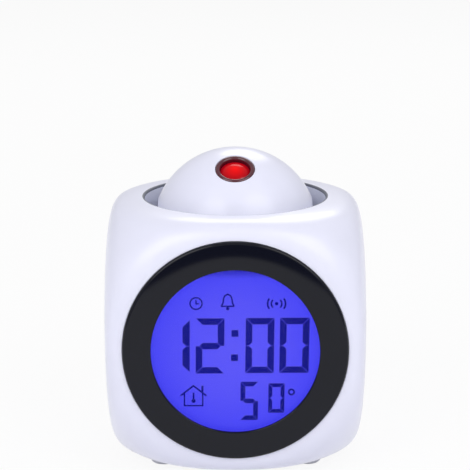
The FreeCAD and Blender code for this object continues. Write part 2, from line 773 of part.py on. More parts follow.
# Projector ball, turned about the lens axis. Its sides are flat inside the yoke, its pins
# run in the yoke's eyes, and its hollow holds the barrel, the slide and the lamp.
ball_at = (0, 0, ball_z)
base_radius = size("sqrt(ball_radius ^ 2 - ball_base ^ 2)")
mouth = size("ring_radius + slip_fit / 2")
mouth_height = f"sqrt(sizes.ball_radius ^ 2 - {mouth} ^ 2)"
shelf = size("barrel_radius + 2 * wall")
cover_radius = size("ball_hollow + wall")
ball = turned("projector_ball", [
    (cover_radius, size("-ball_base")),
    (base_radius, size("-ball_base")),
    (mouth, mouth_height, "sizes.ball_radius", 1),
    (mouth, shelf),
    ("sizes.ball_hollow", shelf),
    ("sizes.ball_hollow", size("cover_thick - ball_base")),
    (cover_radius, size("cover_thick - ball_base"))],
    ball_at, LENS)
for sign, hand in ((1, "right"), (-1, "left")):
    pocket(ball, f"ball_flat_{hand}", "YZ_Plane",
           lambda s: draw_circle(s, 0, 0, "sizes.ball_hollow"), size("ball_radius - ball_flat"),
           offset=f"{sign} * sizes.ball_flat", back=sign > 0)
    pad(ball, f"ball_pin_{hand}", "YZ_Plane",
        lambda s: draw_circle(s, 0, 0, "sizes.pin_radius"),
        size("arm_thick + yoke_gap + pin_over + wall"),
        offset=f"{sign} * (sizes.ball_flat - sizes.wall)", back=sign < 0)
keep(ball)
keep(turned("ball_cover", [
    (0, 0),
    (f"{cover_radius} - sizes.slip_fit / 2", 0),
    (f"{cover_radius} - sizes.slip_fit / 2", "sizes.cover_thick"),
    (0, "sizes.cover_thick")],
    ball_at, LENS))
cover = pieces[-1]
cover_tip = cover.Tip
cover_sketch = cover_tip.Profile[0]
cover_sketch.setExpression("AttachmentOffset.Base.y", size("-ball_base"))

ring_top = f"({mouth_height} + sizes.slip_fit)"
ring_base = f"({ring_top} - sizes.ring_length)"
lens_base = f"({ring_base} + sizes.ring_length / 2)"
barrel_base = f"({size('cover_thick - ball_base')} + sizes.board_thick / 2"
barrel_base += " + sizes.lamp_length + sizes.seat_gap + sizes.slide_thick)"
keep(turned("lens_ring", [
    (size("lens_radius + slip_fit"), ring_base),
    ("sizes.ring_radius", ring_base),
    ("sizes.ring_radius", f"({ring_top} - sizes.ring_bevel)"),
    (size("ring_radius - ring_bevel"), ring_top),
    (size("lens_radius + slip_fit + ring_bevel"), ring_top),
    (size("lens_radius + slip_fit"), f"({ring_top} - sizes.ring_bevel)")],
    ball_at, LENS))
dome_radius = size("(lens_radius ^ 2 + lens_dome ^ 2) / (2 * lens_dome)")
keep(turned("lens", [
    (0, lens_base),
    ("sizes.lens_radius", lens_base),
    ("sizes.lens_radius", f"({lens_base} + sizes.lens_thick)"),
    (0, f"({lens_base} + sizes.lens_thick + sizes.lens_dome)", dome_radius, 1)],
    ball_at, LENS))
keep(turned("lens_barrel", [
    ("sizes.barrel_bore", barrel_base),
    ("sizes.barrel_radius", barrel_base),
    ("sizes.barrel_radius", shelf),
    (f"({mouth} - sizes.slip_fit)", shelf),
    (f"({mouth} - sizes.slip_fit)", ring_base),
    ("sizes.barrel_bore", ring_base)],
    ball_at, LENS))


def in_ball(label, corners, thickness, height):
    """A flat piece square to the lens axis, at a height along it."""
    body = doc.addObject("PartDesign::Body", label)
    pad(body, label + "_pad", "XY_Plane", lambda s: draw_outline(s, corners), thickness, height)
    return place(body, ball_at, LENS)


keep(in_ball("projection_slide", rectangle(0, 0, "sizes.slide_size", "sizes.slide_size"),
             "sizes.slide_thick", f"({barrel_base} - sizes.slide_thick)"))
lamp_base = size("cover_thick - ball_base + board_thick / 2")
keep(turned("lamp_board", [
    (0, size("cover_thick - ball_base")),
    ("sizes.lamp_board_radius", size("cover_thick - ball_base")),
    ("sizes.lamp_board_radius", lamp_base),
    (0, lamp_base)],
    ball_at, LENS))
keep(turned("projection_lamp", [
    (0, lamp_base),
    ("sizes.lamp_radius", lamp_base),
    ("sizes.lamp_radius", f"({lamp_base} + sizes.lamp_length - sizes.lamp_radius / 2)"),
    (size("lamp_radius / 2"), f"({lamp_base} + sizes.lamp_length)"),
    (0, f"({lamp_base} + sizes.lamp_length)")],
    ball_at, LENS))

# Rear keys: four round caps, each with a flange inside the wall and a stem in its switch.
keep(block("key_board", rectangle(0, 0, size("key_board_width"), "sizes.key_board_height"),
           "sizes.board_thick", (0, size("key_board_y"), key_z), BACK))
flange_y = f"({rear_inner} - sizes.slip_fit - sizes.flange_thick)"
key_top = f"({half} + sizes.key_proud)"
stem_y = f"({key_switch_top} - sizes.plunger_entry)"
for i in range(KEYS):
    spot = f"({i} - {(KEYS - 1) / 2}) * sizes.key_pitch"
    keep(turned(f"key_{i + 1}", [
        (0, 0),
        ("sizes.key_stem", 0),
        ("sizes.key_stem", f"({flange_y} - {stem_y})"),
        (size("key_radius + key_flange"), f"({flange_y} - {stem_y})"),
        (size("key_radius + key_flange"), f"({flange_y} - {stem_y} + sizes.flange_thick)"),
        ("sizes.key_radius", f"({flange_y} - {stem_y} + sizes.flange_thick)"),
        ("sizes.key_radius", f"({key_top} - {stem_y} - sizes.key_round)"),
        (size("key_radius - key_round"), f"({key_top} - {stem_y})"),
        (0, f"({key_top} - {stem_y})")],
        (spot, stem_y, key_z), BACK))
    case = box(f"key_switch_case_{i + 1}",
               (f"{spot} - sizes.switch_size / 2", key_board_back,
                f"{key_z} - sizes.switch_size / 2"),
               ("sizes.switch_size", "sizes.key_switch_height", "sizes.switch_size"))
    keep(cut(f"key_switch_{i + 1}", case,
             [rod(f"key_switch_bore_{i + 1}", size("key_stem + slip_fit"),
                  size("2 * key_travel"), (spot, key_switch_top, key_z), FRONT)]))

# Battery cells lie across the bay, turned end for end, between two contact plates.
cell_y = f"({bay_back} + sizes.seat_gap + sizes.cell_radius)"
plate_x = size("bay_length / 2 - contact_thick")
cell_end = f"({plate_x} - sizes.spring_height)"
contacts = {-1: [], 1: []}
for i in range(CELLS):
    level = f"({bay_z} + ({i} - {(CELLS - 1) / 2}) * {cell_pitch})"
    way = -1 if i % 2 else 1
    keep(turned(f"battery_cell_{i + 1}", [
        (0, 0),
        ("sizes.cell_radius", 0),
        ("sizes.cell_radius", "sizes.cell_length"),
        ("sizes.cell_nub_radius", "sizes.cell_length"),
        ("sizes.cell_nub_radius", size("cell_length + cell_nub")),
        (0, size("cell_length + cell_nub"))],
        (f"{-way} * {cell_end}", cell_y, level), RIGHT if way > 0 else LEFT))
    spring = doc.addObject("Part::Cone", f"contact_spring_{i + 1}")
    bind(spring, Radius1="sizes.spring_foot", Radius2="sizes.spring_tip",
         Height="sizes.spring_height")
    place(spring, (f"{-way} * {plate_x}", cell_y, level), RIGHT if way > 0 else LEFT)
    contacts[-way].append(spring)
    contacts[way].append(rod(f"contact_stud_{i + 1}", "sizes.cell_nub_radius", "sizes.stud_height",
                             (f"{way} * {plate_x}", cell_y, level),
                             LEFT if way > 0 else RIGHT))
for side, hand in ((-1, "left"), (1, "right")):
    plate = centred_box(f"contact_plate_{hand}",
                        (f"{side} * ({plate_x} + sizes.contact_thick / 2)", cell_y,
                         f"{bay_z} - {bay_height} / 2"),
                        ("sizes.contact_thick", "sizes.contact_width", bay_height))
    keep(join(f"battery_contacts_{hand}", [plate] + contacts[side]))

# Battery door: swings down about the pins in its round lower edge.
grip_z = f"({door_base} + sizes.door_height - sizes.door_height / 5)"
door_blank = join("door_blank", [
    box("door_plate", (size("-door_width / 2"), door_y, hinge_z),
        ("sizes.door_width", "sizes.door_thick", size("door_height - door_thick / 2"))),
    rod("door_edge", size("door_thick / 2"), "sizes.door_width",
        (size("-door_width / 2"), hinge_y, hinge_z), RIGHT),
    rod("door_pins", "sizes.hinge_radius", size("door_width + 2 * hinge_reach"),
        (size("-door_width / 2 - hinge_reach"), hinge_y, hinge_z), RIGHT),
    box("door_tab", (size("-tab_width / 2"), f"{door_y} - sizes.tab_reach",
                     f"{bay_z} + {bay_height} / 2 - sizes.seat_gap - sizes.tab_thick"),
        ("sizes.tab_width", size("tab_reach + door_thick / 2"), "sizes.tab_thick"))])
keep(cut("battery_door", door_blank, [
    rod("door_grip", "sizes.grip_radius", "sizes.grip_width",
        (size("-grip_width / 2"), f"{half} + sizes.grip_radius - sizes.grip_depth", grip_z),
        RIGHT)]))

# Every object has to be sound before any piece is written.
doc.recompute()
for thing in doc.Objects:
    if "Invalid" in thing.State or "Error" in thing.State:
        raise RuntimeError(thing.Label + " failed: " + str(thing.State))
for piece in pieces:
    if piece.Shape.isNull() or not piece.Shape.isValid():
        raise RuntimeError(piece.Label + " has no valid shape")
    if len(piece.Shape.Solids) != 1:
        raise RuntimeError(piece.Label + " has %d solids" % len(piece.Shape.Solids))

os.makedirs("parts", exist_ok=True)
for piece in pieces:
    piece.Shape.exportStep("parts/" + piece.Label + ".step")
    low = piece.Shape.BoundBox
    print("%-24s x %7.2f %7.2f  y %7.2f %7.2f  z %7.2f %7.2f  vol %9.1f" % (
        piece.Label, low.XMin, low.XMax, low.YMin, low.YMax, low.ZMin, low.ZMax,
        piece.Shape.Volume))
print(len(pieces), "pieces")
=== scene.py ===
# %% [markdown]
# # Projection alarm clock
# A soft white cube with a round backlit display in front, and in its top a ball that throws
# the time on the ceiling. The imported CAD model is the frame: it says where each piece is.
# This lesson gives that frame its looks, one piece at a time, in metres, with +Z up.

# %% Load the frame
import json
import math

import bmesh
import bpy
from mathutils import Matrix, Vector


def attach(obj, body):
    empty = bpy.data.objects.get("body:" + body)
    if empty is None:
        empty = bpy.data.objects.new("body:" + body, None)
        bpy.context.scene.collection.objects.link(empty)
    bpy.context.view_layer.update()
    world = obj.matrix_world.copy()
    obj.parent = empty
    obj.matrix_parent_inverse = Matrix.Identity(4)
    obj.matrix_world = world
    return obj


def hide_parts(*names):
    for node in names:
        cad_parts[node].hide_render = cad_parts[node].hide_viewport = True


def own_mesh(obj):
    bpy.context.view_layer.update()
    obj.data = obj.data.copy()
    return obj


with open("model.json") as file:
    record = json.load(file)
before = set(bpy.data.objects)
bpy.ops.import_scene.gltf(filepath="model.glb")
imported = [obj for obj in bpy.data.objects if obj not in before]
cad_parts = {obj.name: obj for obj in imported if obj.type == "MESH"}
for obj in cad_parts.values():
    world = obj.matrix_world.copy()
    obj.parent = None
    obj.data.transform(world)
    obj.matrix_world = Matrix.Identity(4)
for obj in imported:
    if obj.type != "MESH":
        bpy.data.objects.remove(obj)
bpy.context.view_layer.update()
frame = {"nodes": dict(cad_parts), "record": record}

MM = 0.001
nodes = frame["nodes"]
# The objects that Blender starts with have no place in this scene.
for stray in ("Cube", "Light", "Camera"):
    if stray in bpy.data.objects:
        bpy.data.objects.remove(bpy.data.objects[stray])

# %% [markdown]
# ## Camera
# The photograph was taken from half a metre in front, 16 degrees above the display's centre.
# The lens and the shift put the clock in the same place in a square frame.

# %% Camera
EYE_TURN = 0.0014258
EYE_RISE = 0.2831236
EYE_ROLL = -0.0025907
EYE_DISTANCE = 512.611 * MM
PIXELS = 470
PIXELS_PER_MM = 3.181526
AIM = Vector((0, 0, 40.8 * MM))
AIM_PIXEL = (235.4747, 312.837)
SENSOR = 36
FOCAL = PIXELS_PER_MM / MM * EYE_DISTANCE
away = Vector((math.sin(EYE_TURN) * math.cos(EYE_RISE),
               -math.cos(EYE_TURN) * math.cos(EYE_RISE), math.sin(EYE_RISE)))
level = Vector((0, 0, 1)).cross(away).normalized()
upright = away.cross(level)
right = level * math.cos(EYE_ROLL) + upright * math.sin(EYE_ROLL)
up = upright * math.cos(EYE_ROLL) - level * math.sin(EYE_ROLL)
camera_data = bpy.data.cameras.new("camera")
camera_data.sensor_width = SENSOR
camera_data.lens = FOCAL / PIXELS * SENSOR
camera_data.shift_x = (PIXELS / 2 - AIM_PIXEL[0]) / PIXELS
camera_data.shift_y = (AIM_PIXEL[1] - PIXELS / 2) / PIXELS
camera = bpy.data.objects.new("camera", camera_data)
camera.matrix_world = Matrix.Translation(AIM + away * EYE_DISTANCE) @ Matrix(
    (right, up, away)).transposed().to_4x4()
bpy.context.scene.collection.objects.link(camera)
bpy.context.scene.camera = camera
bpy.context.scene.view_settings.view_transform = "Standard"
print("lens %.1f mm, shift %.3f" % (camera_data.lens, camera_data.shift_y))

# %% [markdown]
# ## Nodes by hand
# Materials and geometry trees are both made of nodes. One helper adds a node, sets its
# settings and fills its sockets: a socket given to it is linked, any other value is written in.


# %% Node helpers
def add_node(tree, kind, sockets=None, **settings):
    made = tree.nodes.new(kind)
    for name, value in settings.items():
        setattr(made, name, value)
    for name, value in (sockets or {}).items():
        if isinstance(value, bpy.types.NodeSocket):
            tree.links.new(value, made.inputs[name])
        else:
            made.inputs[name].default_value = value
    return made


def maths(tree, operation, first, second=0.0, third=0.0):
    made = add_node(tree, "ShaderNodeMath", {0: first, 1: second, 2: third},
                    operation=operation)
    return made.outputs[0]


def ramp(tree, factor, stops):
    """A colour ramp from (place, colour) stops."""
    made = add_node(tree, "ShaderNodeValToRGB", {"Fac": factor})
    bar = made.color_ramp.elements
    while len(bar) < len(stops):
        bar.new(0.5)
    for element, (spot, colour) in zip(bar, stops):
        element.position = spot
        element.color = (*colour, 1)
    return made.outputs["Color"]


# %% [markdown]
# ## Finishes
# Moulded plastic is never one flat colour: it has a fine spark-eroded grain, small changes of
# tone and of gloss. `finish` builds that for every surface here from noise in Object
# coordinates, so the grain keeps its size on every piece.


# %% One recipe for all finishes
def finish(name, colour, rough, tone=0.03, grain=0.0, grain_size=0.35, rough_spread=0.04,
           metal=0.0, coat=0.0, **shader):
    """tone is the share by which the colour wanders, grain the bump's height in mm."""
    material = bpy.data.materials.new(name)
    material.use_nodes = True
    material.diffuse_color = (*colour, 1)
    tree = material.node_tree
    surface = tree.nodes["Principled BSDF"]
    place = add_node(tree, "ShaderNodeTexCoord").outputs["Object"]
    slow = add_node(tree, "ShaderNodeTexNoise", {"Vector": place, "Scale": 90.0, "Detail": 4.0})
    dark = [c * (1 - tone) for c in colour]
    pale = [min(1.0, c * (1 + tone)) for c in colour]
    shade = ramp(tree, slow.outputs["Fac"], [(0.3, dark), (0.7, pale)])
    tree.links.new(shade, surface.inputs["Base Color"])
    fine = add_node(tree, "ShaderNodeTexNoise",
                    {"Vector": place, "Scale": 1 / (grain_size * MM), "Detail": 3.0})
    gloss = maths(tree, "MULTIPLY_ADD", fine.outputs["Fac"], rough_spread * 2,
                  rough - rough_spread)
    tree.links.new(gloss, surface.inputs["Roughness"])
    if grain:
        bump = add_node(tree, "ShaderNodeBump", {"Height": fine.outputs["Fac"],
                                                 "Distance": grain * MM, "Strength": 1.0})
        tree.links.new(bump.outputs["Normal"], surface.inputs["Normal"])
    surface.inputs["Metallic"].default_value = metal
    surface.inputs["Coat Weight"].default_value = coat
    for socket, value in shader.items():
        surface.inputs[socket.replace("_", " ")].default_value = value
    return material


HOUSING = finish("lavender_white_plastic", (0.825, 0.832, 0.985), 0.32, tone=0.012,
                 grain=0.010, grain_size=0.4, coat=0.15)
# Painted shade: the well's wall is the housing's white plastic made grey where it lies in
# shadow.
PAINTED_WELL_SHADE = finish("grey_well_collar", (0.70, 0.72, 0.82), 0.36, tone=0.06, grain=0.010)
KEY = finish("grey_key_plastic", (0.50, 0.51, 0.60), 0.42, tone=0.03, grain=0.012)
# Painted shade: the lip's dark grey stands in for the shadowed gap between the rim and the
# ball.
PAINTED_RIM_SHADE = finish("dark_well_edge", (0.10, 0.11, 0.15), 0.35, tone=0.06)
BEZEL = finish("piano_black_ring", (0.0035, 0.0042, 0.0095), 0.08, rough_spread=0.012,
               Specular_IOR_Level=0.27)
FOOT = finish("milky_rubber_foot", (0.66, 0.67, 0.74), 0.7, tone=0.05, grain=0.02)
RUBBER = finish("grey_rubber", (0.16, 0.16, 0.18), 0.75, tone=0.08, grain=0.03)
INNER = finish("inner_natural_plastic", (0.62, 0.62, 0.64), 0.5, grain=0.008)
BOARD = finish("green_board", (0.02, 0.14, 0.06), 0.38, tone=0.16, coat=0.4)
BLACK = finish("black_epoxy", (0.015, 0.015, 0.017), 0.45, tone=0.2, grain=0.01)
METAL = finish("plated_steel", (0.62, 0.62, 0.60), 0.26, metal=1.0, rough_spread=0.08)
MAGNET = finish("zinc_magnet", (0.36, 0.37, 0.38), 0.4, metal=1.0, rough_spread=0.1)
RING = finish("maroon_gloss", (0.085, 0.008, 0.020), 0.07, rough_spread=0.02, coat=0.7)
SLIDE = finish("dark_slide", (0.03, 0.005, 0.006), 0.2)
CELL = finish("cell_sleeve", (0.02, 0.02, 0.024), 0.3, coat=0.4)
TURNED_CELL = finish("turned_cell_sleeve", (0.02, 0.02, 0.024), 0.3, coat=0.4)
LAMP = finish("red_lamp_epoxy", (0.6, 0.02, 0.02), 0.15, coat=0.3)
print("finishes so far:", len(bpy.data.materials))

# %% Bands on the battery cells
# The three cells lie across the back, in a bay of this length.
BAY_LONG = 48.4


def banded(material, way):
    """A sleeve on a cell: a copper band at its positive end, bare metal at both ends."""
    tree = material.node_tree
    surface = tree.nodes["Principled BSDF"]
    place = add_node(tree, "ShaderNodeTexCoord").outputs["Object"]
    along = add_node(tree, "ShaderNodeSeparateXYZ", {"Vector": place}).outputs["X"]
    share = maths(tree, "MULTIPLY_ADD", along, way / (BAY_LONG * MM), 0.5)
    sleeve, band, bare = (0.02, 0.02, 0.024), (0.45, 0.17, 0.03), (0.6, 0.6, 0.58)
    metal, paint = (1, 1, 1), (0, 0, 0)
    start, change, stop, edge = 0.066, 0.702, 0.94, 0.002
    tone = ramp(tree, share, [(0.0, bare), (start - edge, bare), (start, sleeve),
                              (change - edge, sleeve), (change, band), (stop - edge, band),
                              (stop, bare)])
    tree.links.new(tone, surface.inputs["Base Color"])
    shine = ramp(tree, share, [(0.0, metal), (start - edge, metal), (start, paint),
                               (stop - edge, paint), (stop, metal)])
    tree.links.new(shine, surface.inputs["Metallic"])


banded(CELL, 1)
banded(TURNED_CELL, -1)
print("cells lie in a bay of", BAY_LONG, "mm")

# %% [markdown]
# The clear window, the lit lens, the blue display and its figures give light or let it
# through, so each gets a finish of its own on the same recipe.


# %% Clear window
def clear_plastic():
    material = finish("clear_window", (0.97, 0.98, 1.0), 0.03, tone=0.004, rough_spread=0.008)
    surface = material.node_tree.nodes["Principled BSDF"]
    surface.inputs["Transmission Weight"].default_value = 1.0
    surface.inputs["IOR"].default_value = 1.12
    return material


CRYSTAL = clear_plastic()

# %% Backlit display
DISPLAY_Z = 40.1
GLOW_R = 25.5
TOP_SHADE_REACH = 25.0


def lit(material, glow, strength=1.0):
    """The surface shines with the colour that the socket glow gives at each point."""
    surface = material.node_tree.nodes["Principled BSDF"]
    material.node_tree.links.new(glow, surface.inputs["Emission Color"])
    surface.inputs["Emission Strength"].default_value = strength


def blue_display():
    """Blue light, palest a little above the middle and deepest at the rim; the darker top edge
    is painted shade from the ring above it.
    """
    material = finish("blue_display", (0.004, 0.004, 0.02), 0.35, Specular_IOR_Level=0.1)
    tree = material.node_tree
    place = add_node(tree, "ShaderNodeTexCoord").outputs["Object"]
    moved = add_node(tree, "ShaderNodeMapping",
                     {"Vector": place, "Location": (0, 0, -DISPLAY_Z * MM)})
    parts = add_node(tree, "ShaderNodeSeparateXYZ", {"Vector": moved.outputs[0]})
    flat = add_node(tree, "ShaderNodeCombineXYZ", {"X": parts.outputs["X"],
                                                   "Z": parts.outputs["Z"]})
    away_from_middle = add_node(tree, "ShaderNodeVectorMath", {0: flat.outputs[0]},
                                operation="LENGTH").outputs["Value"]
    reach = maths(tree, "DIVIDE", away_from_middle, GLOW_R * MM)
    blue = ramp(tree, reach, [(0.0, (0.105, 0.092, 0.955)), (0.55, (0.088, 0.078, 0.945)),
                              (0.90, (0.062, 0.057, 0.93)), (1.0, (0.048, 0.045, 0.84))])
    # Painted shade: the glow is darkened towards the top edge, as if the ring above shades it.
    top = ramp(tree, maths(tree, "DIVIDE", parts.outputs["Z"], TOP_SHADE_REACH * MM),
               [(0.0, (1, 1, 1)), (0.86, (1, 1, 1)), (0.955, (0.34, 0.34, 0.55))])
    shaded = add_node(tree, "ShaderNodeVectorMath", {0: blue, 1: top}, operation="MULTIPLY")
    lit(material, shaded.outputs[0], 0.96)
    return material


DISPLAY = blue_display()


# %% Display figures and the red lens
def glowing(name, colour, rim_colour, centre, reach, **more):
    """A finish that shines, from colour in the middle to rim_colour at reach."""
    material = finish(name, [c * 0.25 for c in colour], 0.12, **more)
    tree = material.node_tree
    place = add_node(tree, "ShaderNodeTexCoord").outputs["Object"]
    off = add_node(tree, "ShaderNodeVectorMath", {0: place, 1: Vector(centre) * MM},
                   operation="DISTANCE").outputs["Value"]
    lit(material, ramp(tree, maths(tree, "DIVIDE", off, reach * MM),
                       [(0.0, colour), (1.0, rim_colour)]))
    return material


LENS_AXIS = Vector((0, -0.5, math.sqrt(0.75)))
BALL_CENTRE = Vector((0, 0, 67.6))
FIGURE = glowing("display_figures", (0.003, 0.004, 0.21), (0.002, 0.003, 0.17),
                 (0, -36.5, DISPLAY_Z), 26, Specular_IOR_Level=0.04)
LIT_LENS = glowing("red_lit_lens", (0.80, 0.001, 0.002), (0.13, 0.0, 0.006),
                   BALL_CENTRE + LENS_AXIS * 25.05, 4.7, Specular_IOR_Level=0.16)
print("finishes in all:", len(bpy.data.materials))

# %% [markdown]
# ## Dress the CAD nodes
# A CAD piece whose shape is right keeps it and only gets its finish, slot by slot.

# %% Finish by the record's slot
BY_SLOT = {"housing": HOUSING, "key": KEY, "ball": HOUSING, "foot": FOOT, "bezel": BEZEL,
           "crystal": CRYSTAL, "lcd": DISPLAY, "light_panel": INNER, "strip": RUBBER,
           "inner_plastic": INNER, "board": BOARD, "black_part": BLACK, "metal": METAL,
           "magnet": MAGNET, "cell": CELL, "lens_ring": RING, "lens": LIT_LENS,
           "slide": SLIDE, "lamp": LAMP}
slot_of = {row["node"]: row["material_slot"] for row in frame["record"]["subparts"]}
for name, thing in nodes.items():
    thing.data.materials.clear()
    thing.data.materials.append(BY_SLOT[slot_of[name]])
nodes["battery_cell_2"].data.materials[0] = TURNED_CELL
print("slots dressed:", len(set(slot_of.values())))

# %% [markdown]
# ## Shapes by hand
# Most small pieces here are turned: a profile goes round an axis. `lathe` does that from a
# list of (radius, height, round) corners, in millimetres, and rounds each corner in the
# profile itself, so that every edge catches light as a moulded edge does.


# %% Mesh helpers
SMOOTH = 30


def piece(name, points, faces, material, smooth=SMOOTH):
    """A mesh object from points in metres, facing outwards, soft over bends below smooth."""
    mesh = bpy.data.meshes.new(name)
    mesh.from_pydata([tuple(p) for p in points], [], faces)
    tidy = bmesh.new()
    tidy.from_mesh(mesh)
    bmesh.ops.remove_doubles(tidy, verts=tidy.verts, dist=1e-7)
    bmesh.ops.recalc_face_normals(tidy, faces=tidy.faces)
    tidy.to_mesh(mesh)
    tidy.free()
    mesh.shade_smooth()
    mesh.set_sharp_from_angle(angle=math.radians(smooth))
    mesh.materials.append(material)
    made = bpy.data.objects.new(name, mesh)
    bpy.context.scene.collection.objects.link(made)
    return made


def rounded(corners, steps):
    """The profile's points, with an arc wherever a corner has a third number, its radius."""
    line = []
    count = len(corners)
    for i, corner in enumerate(corners):
        here = Vector(corner[:2])
        radius = corner[2] if len(corner) > 2 else 0
        if not radius:
            line.append(here)
            continue
        back = (Vector(corners[i - 1][:2]) - here).normalized()
        on = (Vector(corners[(i + 1) % count][:2]) - here).normalized()
        spread = back.angle(on)
        reach = radius / math.tan(spread / 2)
        middle = here + (back + on).normalized() * (radius / math.sin(spread / 2))
        first = here + back * reach - middle
        last = here + on * reach - middle
        turn = first.angle_signed(last)
        for k in range(steps + 1):
            swing = -turn * k / steps
            line.append(middle + Matrix.Rotation(swing, 2) @ first)
    return line


def turn_about(centre, axis):
    """The place of a turned piece: its own Z goes along axis from centre, in mm."""
    turn = Vector((0, 0, 1)).rotation_difference(Vector(axis)).to_matrix().to_4x4()
    return Matrix.Translation(Vector(centre) * MM) @ turn


def lathe(name, corners, place, material, steps=96, arc=5, smooth=SMOOTH):
    """A closed profile of (radius, height, round) turned about the place's own Z."""
    line = rounded(corners, arc)
    points = []
    rows = []
    for r, h in line:
        if r < 1e-6:
            rows.append([len(points)] * steps)
            points.append(place @ Vector((0, 0, h * MM)))
            continue
        rows.append(list(range(len(points), len(points) + steps)))
        for k in range(steps):
            a = 2 * math.pi * k / steps
            points.append(place @ Vector((r * MM * math.cos(a), r * MM * math.sin(a), h * MM)))
    faces = []
    for first, second in zip(rows, rows[1:] + rows[:1]):
        for k in range(steps):
            j = (k + 1) % steps
            corner = [first[k], first[j], second[j], second[k]]
            seen = list(dict.fromkeys(corner))
            if len(seen) > 2:
                faces.append(seen)
    return piece(name, points, faces, material, smooth)


def block(name, low, high, material):
    """A box between two corners in mm, used to cut and to join."""
    xs, ys, zs = zip([v * MM for v in low], [v * MM for v in high])
    points = [(x, y, z) for x in xs for y in ys for z in zs]
    faces = [(0, 1, 3, 2), (4, 6, 7, 5), (0, 4, 5, 1), (2, 3, 7, 6), (0, 2, 6, 4), (1, 5, 7, 3)]
    return piece(name, points, faces, material)


def plain(thing, name=None):
    """The object with its modifiers worked out, as a plain mesh; the first one goes."""
    label = name or thing.name
    graph = bpy.context.evaluated_depsgraph_get()
    mesh = bpy.data.meshes.new_from_object(thing.evaluated_get(graph))
    made = bpy.data.objects.new(label, mesh)
    bpy.context.scene.collection.objects.link(made)
    bpy.data.objects.remove(thing)
    made.name = label
    mesh.name = label
    return made


def carve(body, tools, operation="DIFFERENCE"):
    """Cuts, joins or intersects closed meshes; each new face keeps its tool's finish."""
    for tool in tools:
        step = body.modifiers.new("carve", "BOOLEAN")
        step.operation = operation
        step.solver = "MANIFOLD"
        step.material_mode = "TRANSFER"
        step.object = tool
        body = plain(body)
        bpy.data.objects.remove(tool)
    body.data.shade_smooth()
    body.data.set_sharp_from_angle(angle=math.radians(SMOOTH))
    return body


def copy_of(thing, name):
    made = thing.copy()
    made.data = thing.data.copy()
    made.name = name
    bpy.context.scene.collection.objects.link(made)
    return made


def tell(*things):
    for thing in things:
        print("%s: %d faces" % (thing.name, len(thing.data.polygons)))


FRONT = (0, -1, 0)
REAR = (0, 1, 0)
RIGHT = (1, 0, 0)
TOP = (0, 0, 1)

# %% [markdown]
# ## Geometry Nodes helper
# A tree is built once, with named inputs for its sizes. Its modifier is filled by each
# socket's identifier, worked out, and taken off again, so what is left is a plain mesh.


# %% Trees with named inputs
KINDS = {float: "NodeSocketFloat", int: "NodeSocketInt", Vector: "NodeSocketVector",
         type(None): "NodeSocketMaterial"}


def new_tree(name, **inputs):
    """A tree with one input per word, and its group input node; None stands for a material."""
    tree = bpy.data.node_groups.new(name, "GeometryNodeTree")
    tree.interface.new_socket("Geometry", in_out="OUTPUT", socket_type="NodeSocketGeometry")
    for word, value in inputs.items():
        made = tree.interface.new_socket(word, in_out="INPUT", socket_type=KINDS[type(value)])
        if value is not None:
            made.default_value = value
    return tree, add_node(tree, "NodeGroupInput")


def close_tree(tree, geometry, given):
    """Ends a tree: instances made real and material set."""
    real = add_node(tree, "GeometryNodeRealizeInstances", {0: geometry}).outputs[0]
    dressed = add_node(tree, "GeometryNodeSetMaterial",
                       {"Geometry": real, "Material": given.outputs["Material"]}).outputs[0]
    end = add_node(tree, "NodeGroupOutput")
    tree.links.new(dressed, end.inputs[0])


def grow(name, tree, **values):
    """A plain mesh from the tree, with its inputs filled by identifier."""
    seed = bpy.data.objects.new(name + "_seed", bpy.data.meshes.new(name))
    bpy.context.scene.collection.objects.link(seed)
    step = seed.modifiers.new("tree", "NODES")
    step.node_group = tree
    for item in tree.interface.items_tree:
        if item.in_out == "INPUT" and item.name in values:
            step[item.identifier] = values[item.name]
    return plain(seed, name)


# %% [markdown]
# ## The soft cube
# The housing is the main form. It is a cube whose faces are nearly flat and whose eight
# corners all follow one ball. One rule gives that: along each direction, the reach is a
# high-power mean of the cube's reach and the ball's. A grid cube could be bevelled and
# subdivided instead, but its corners would never follow one ball; the rule does by itself.


# %% Soft cube tree
CROWD = 0.3


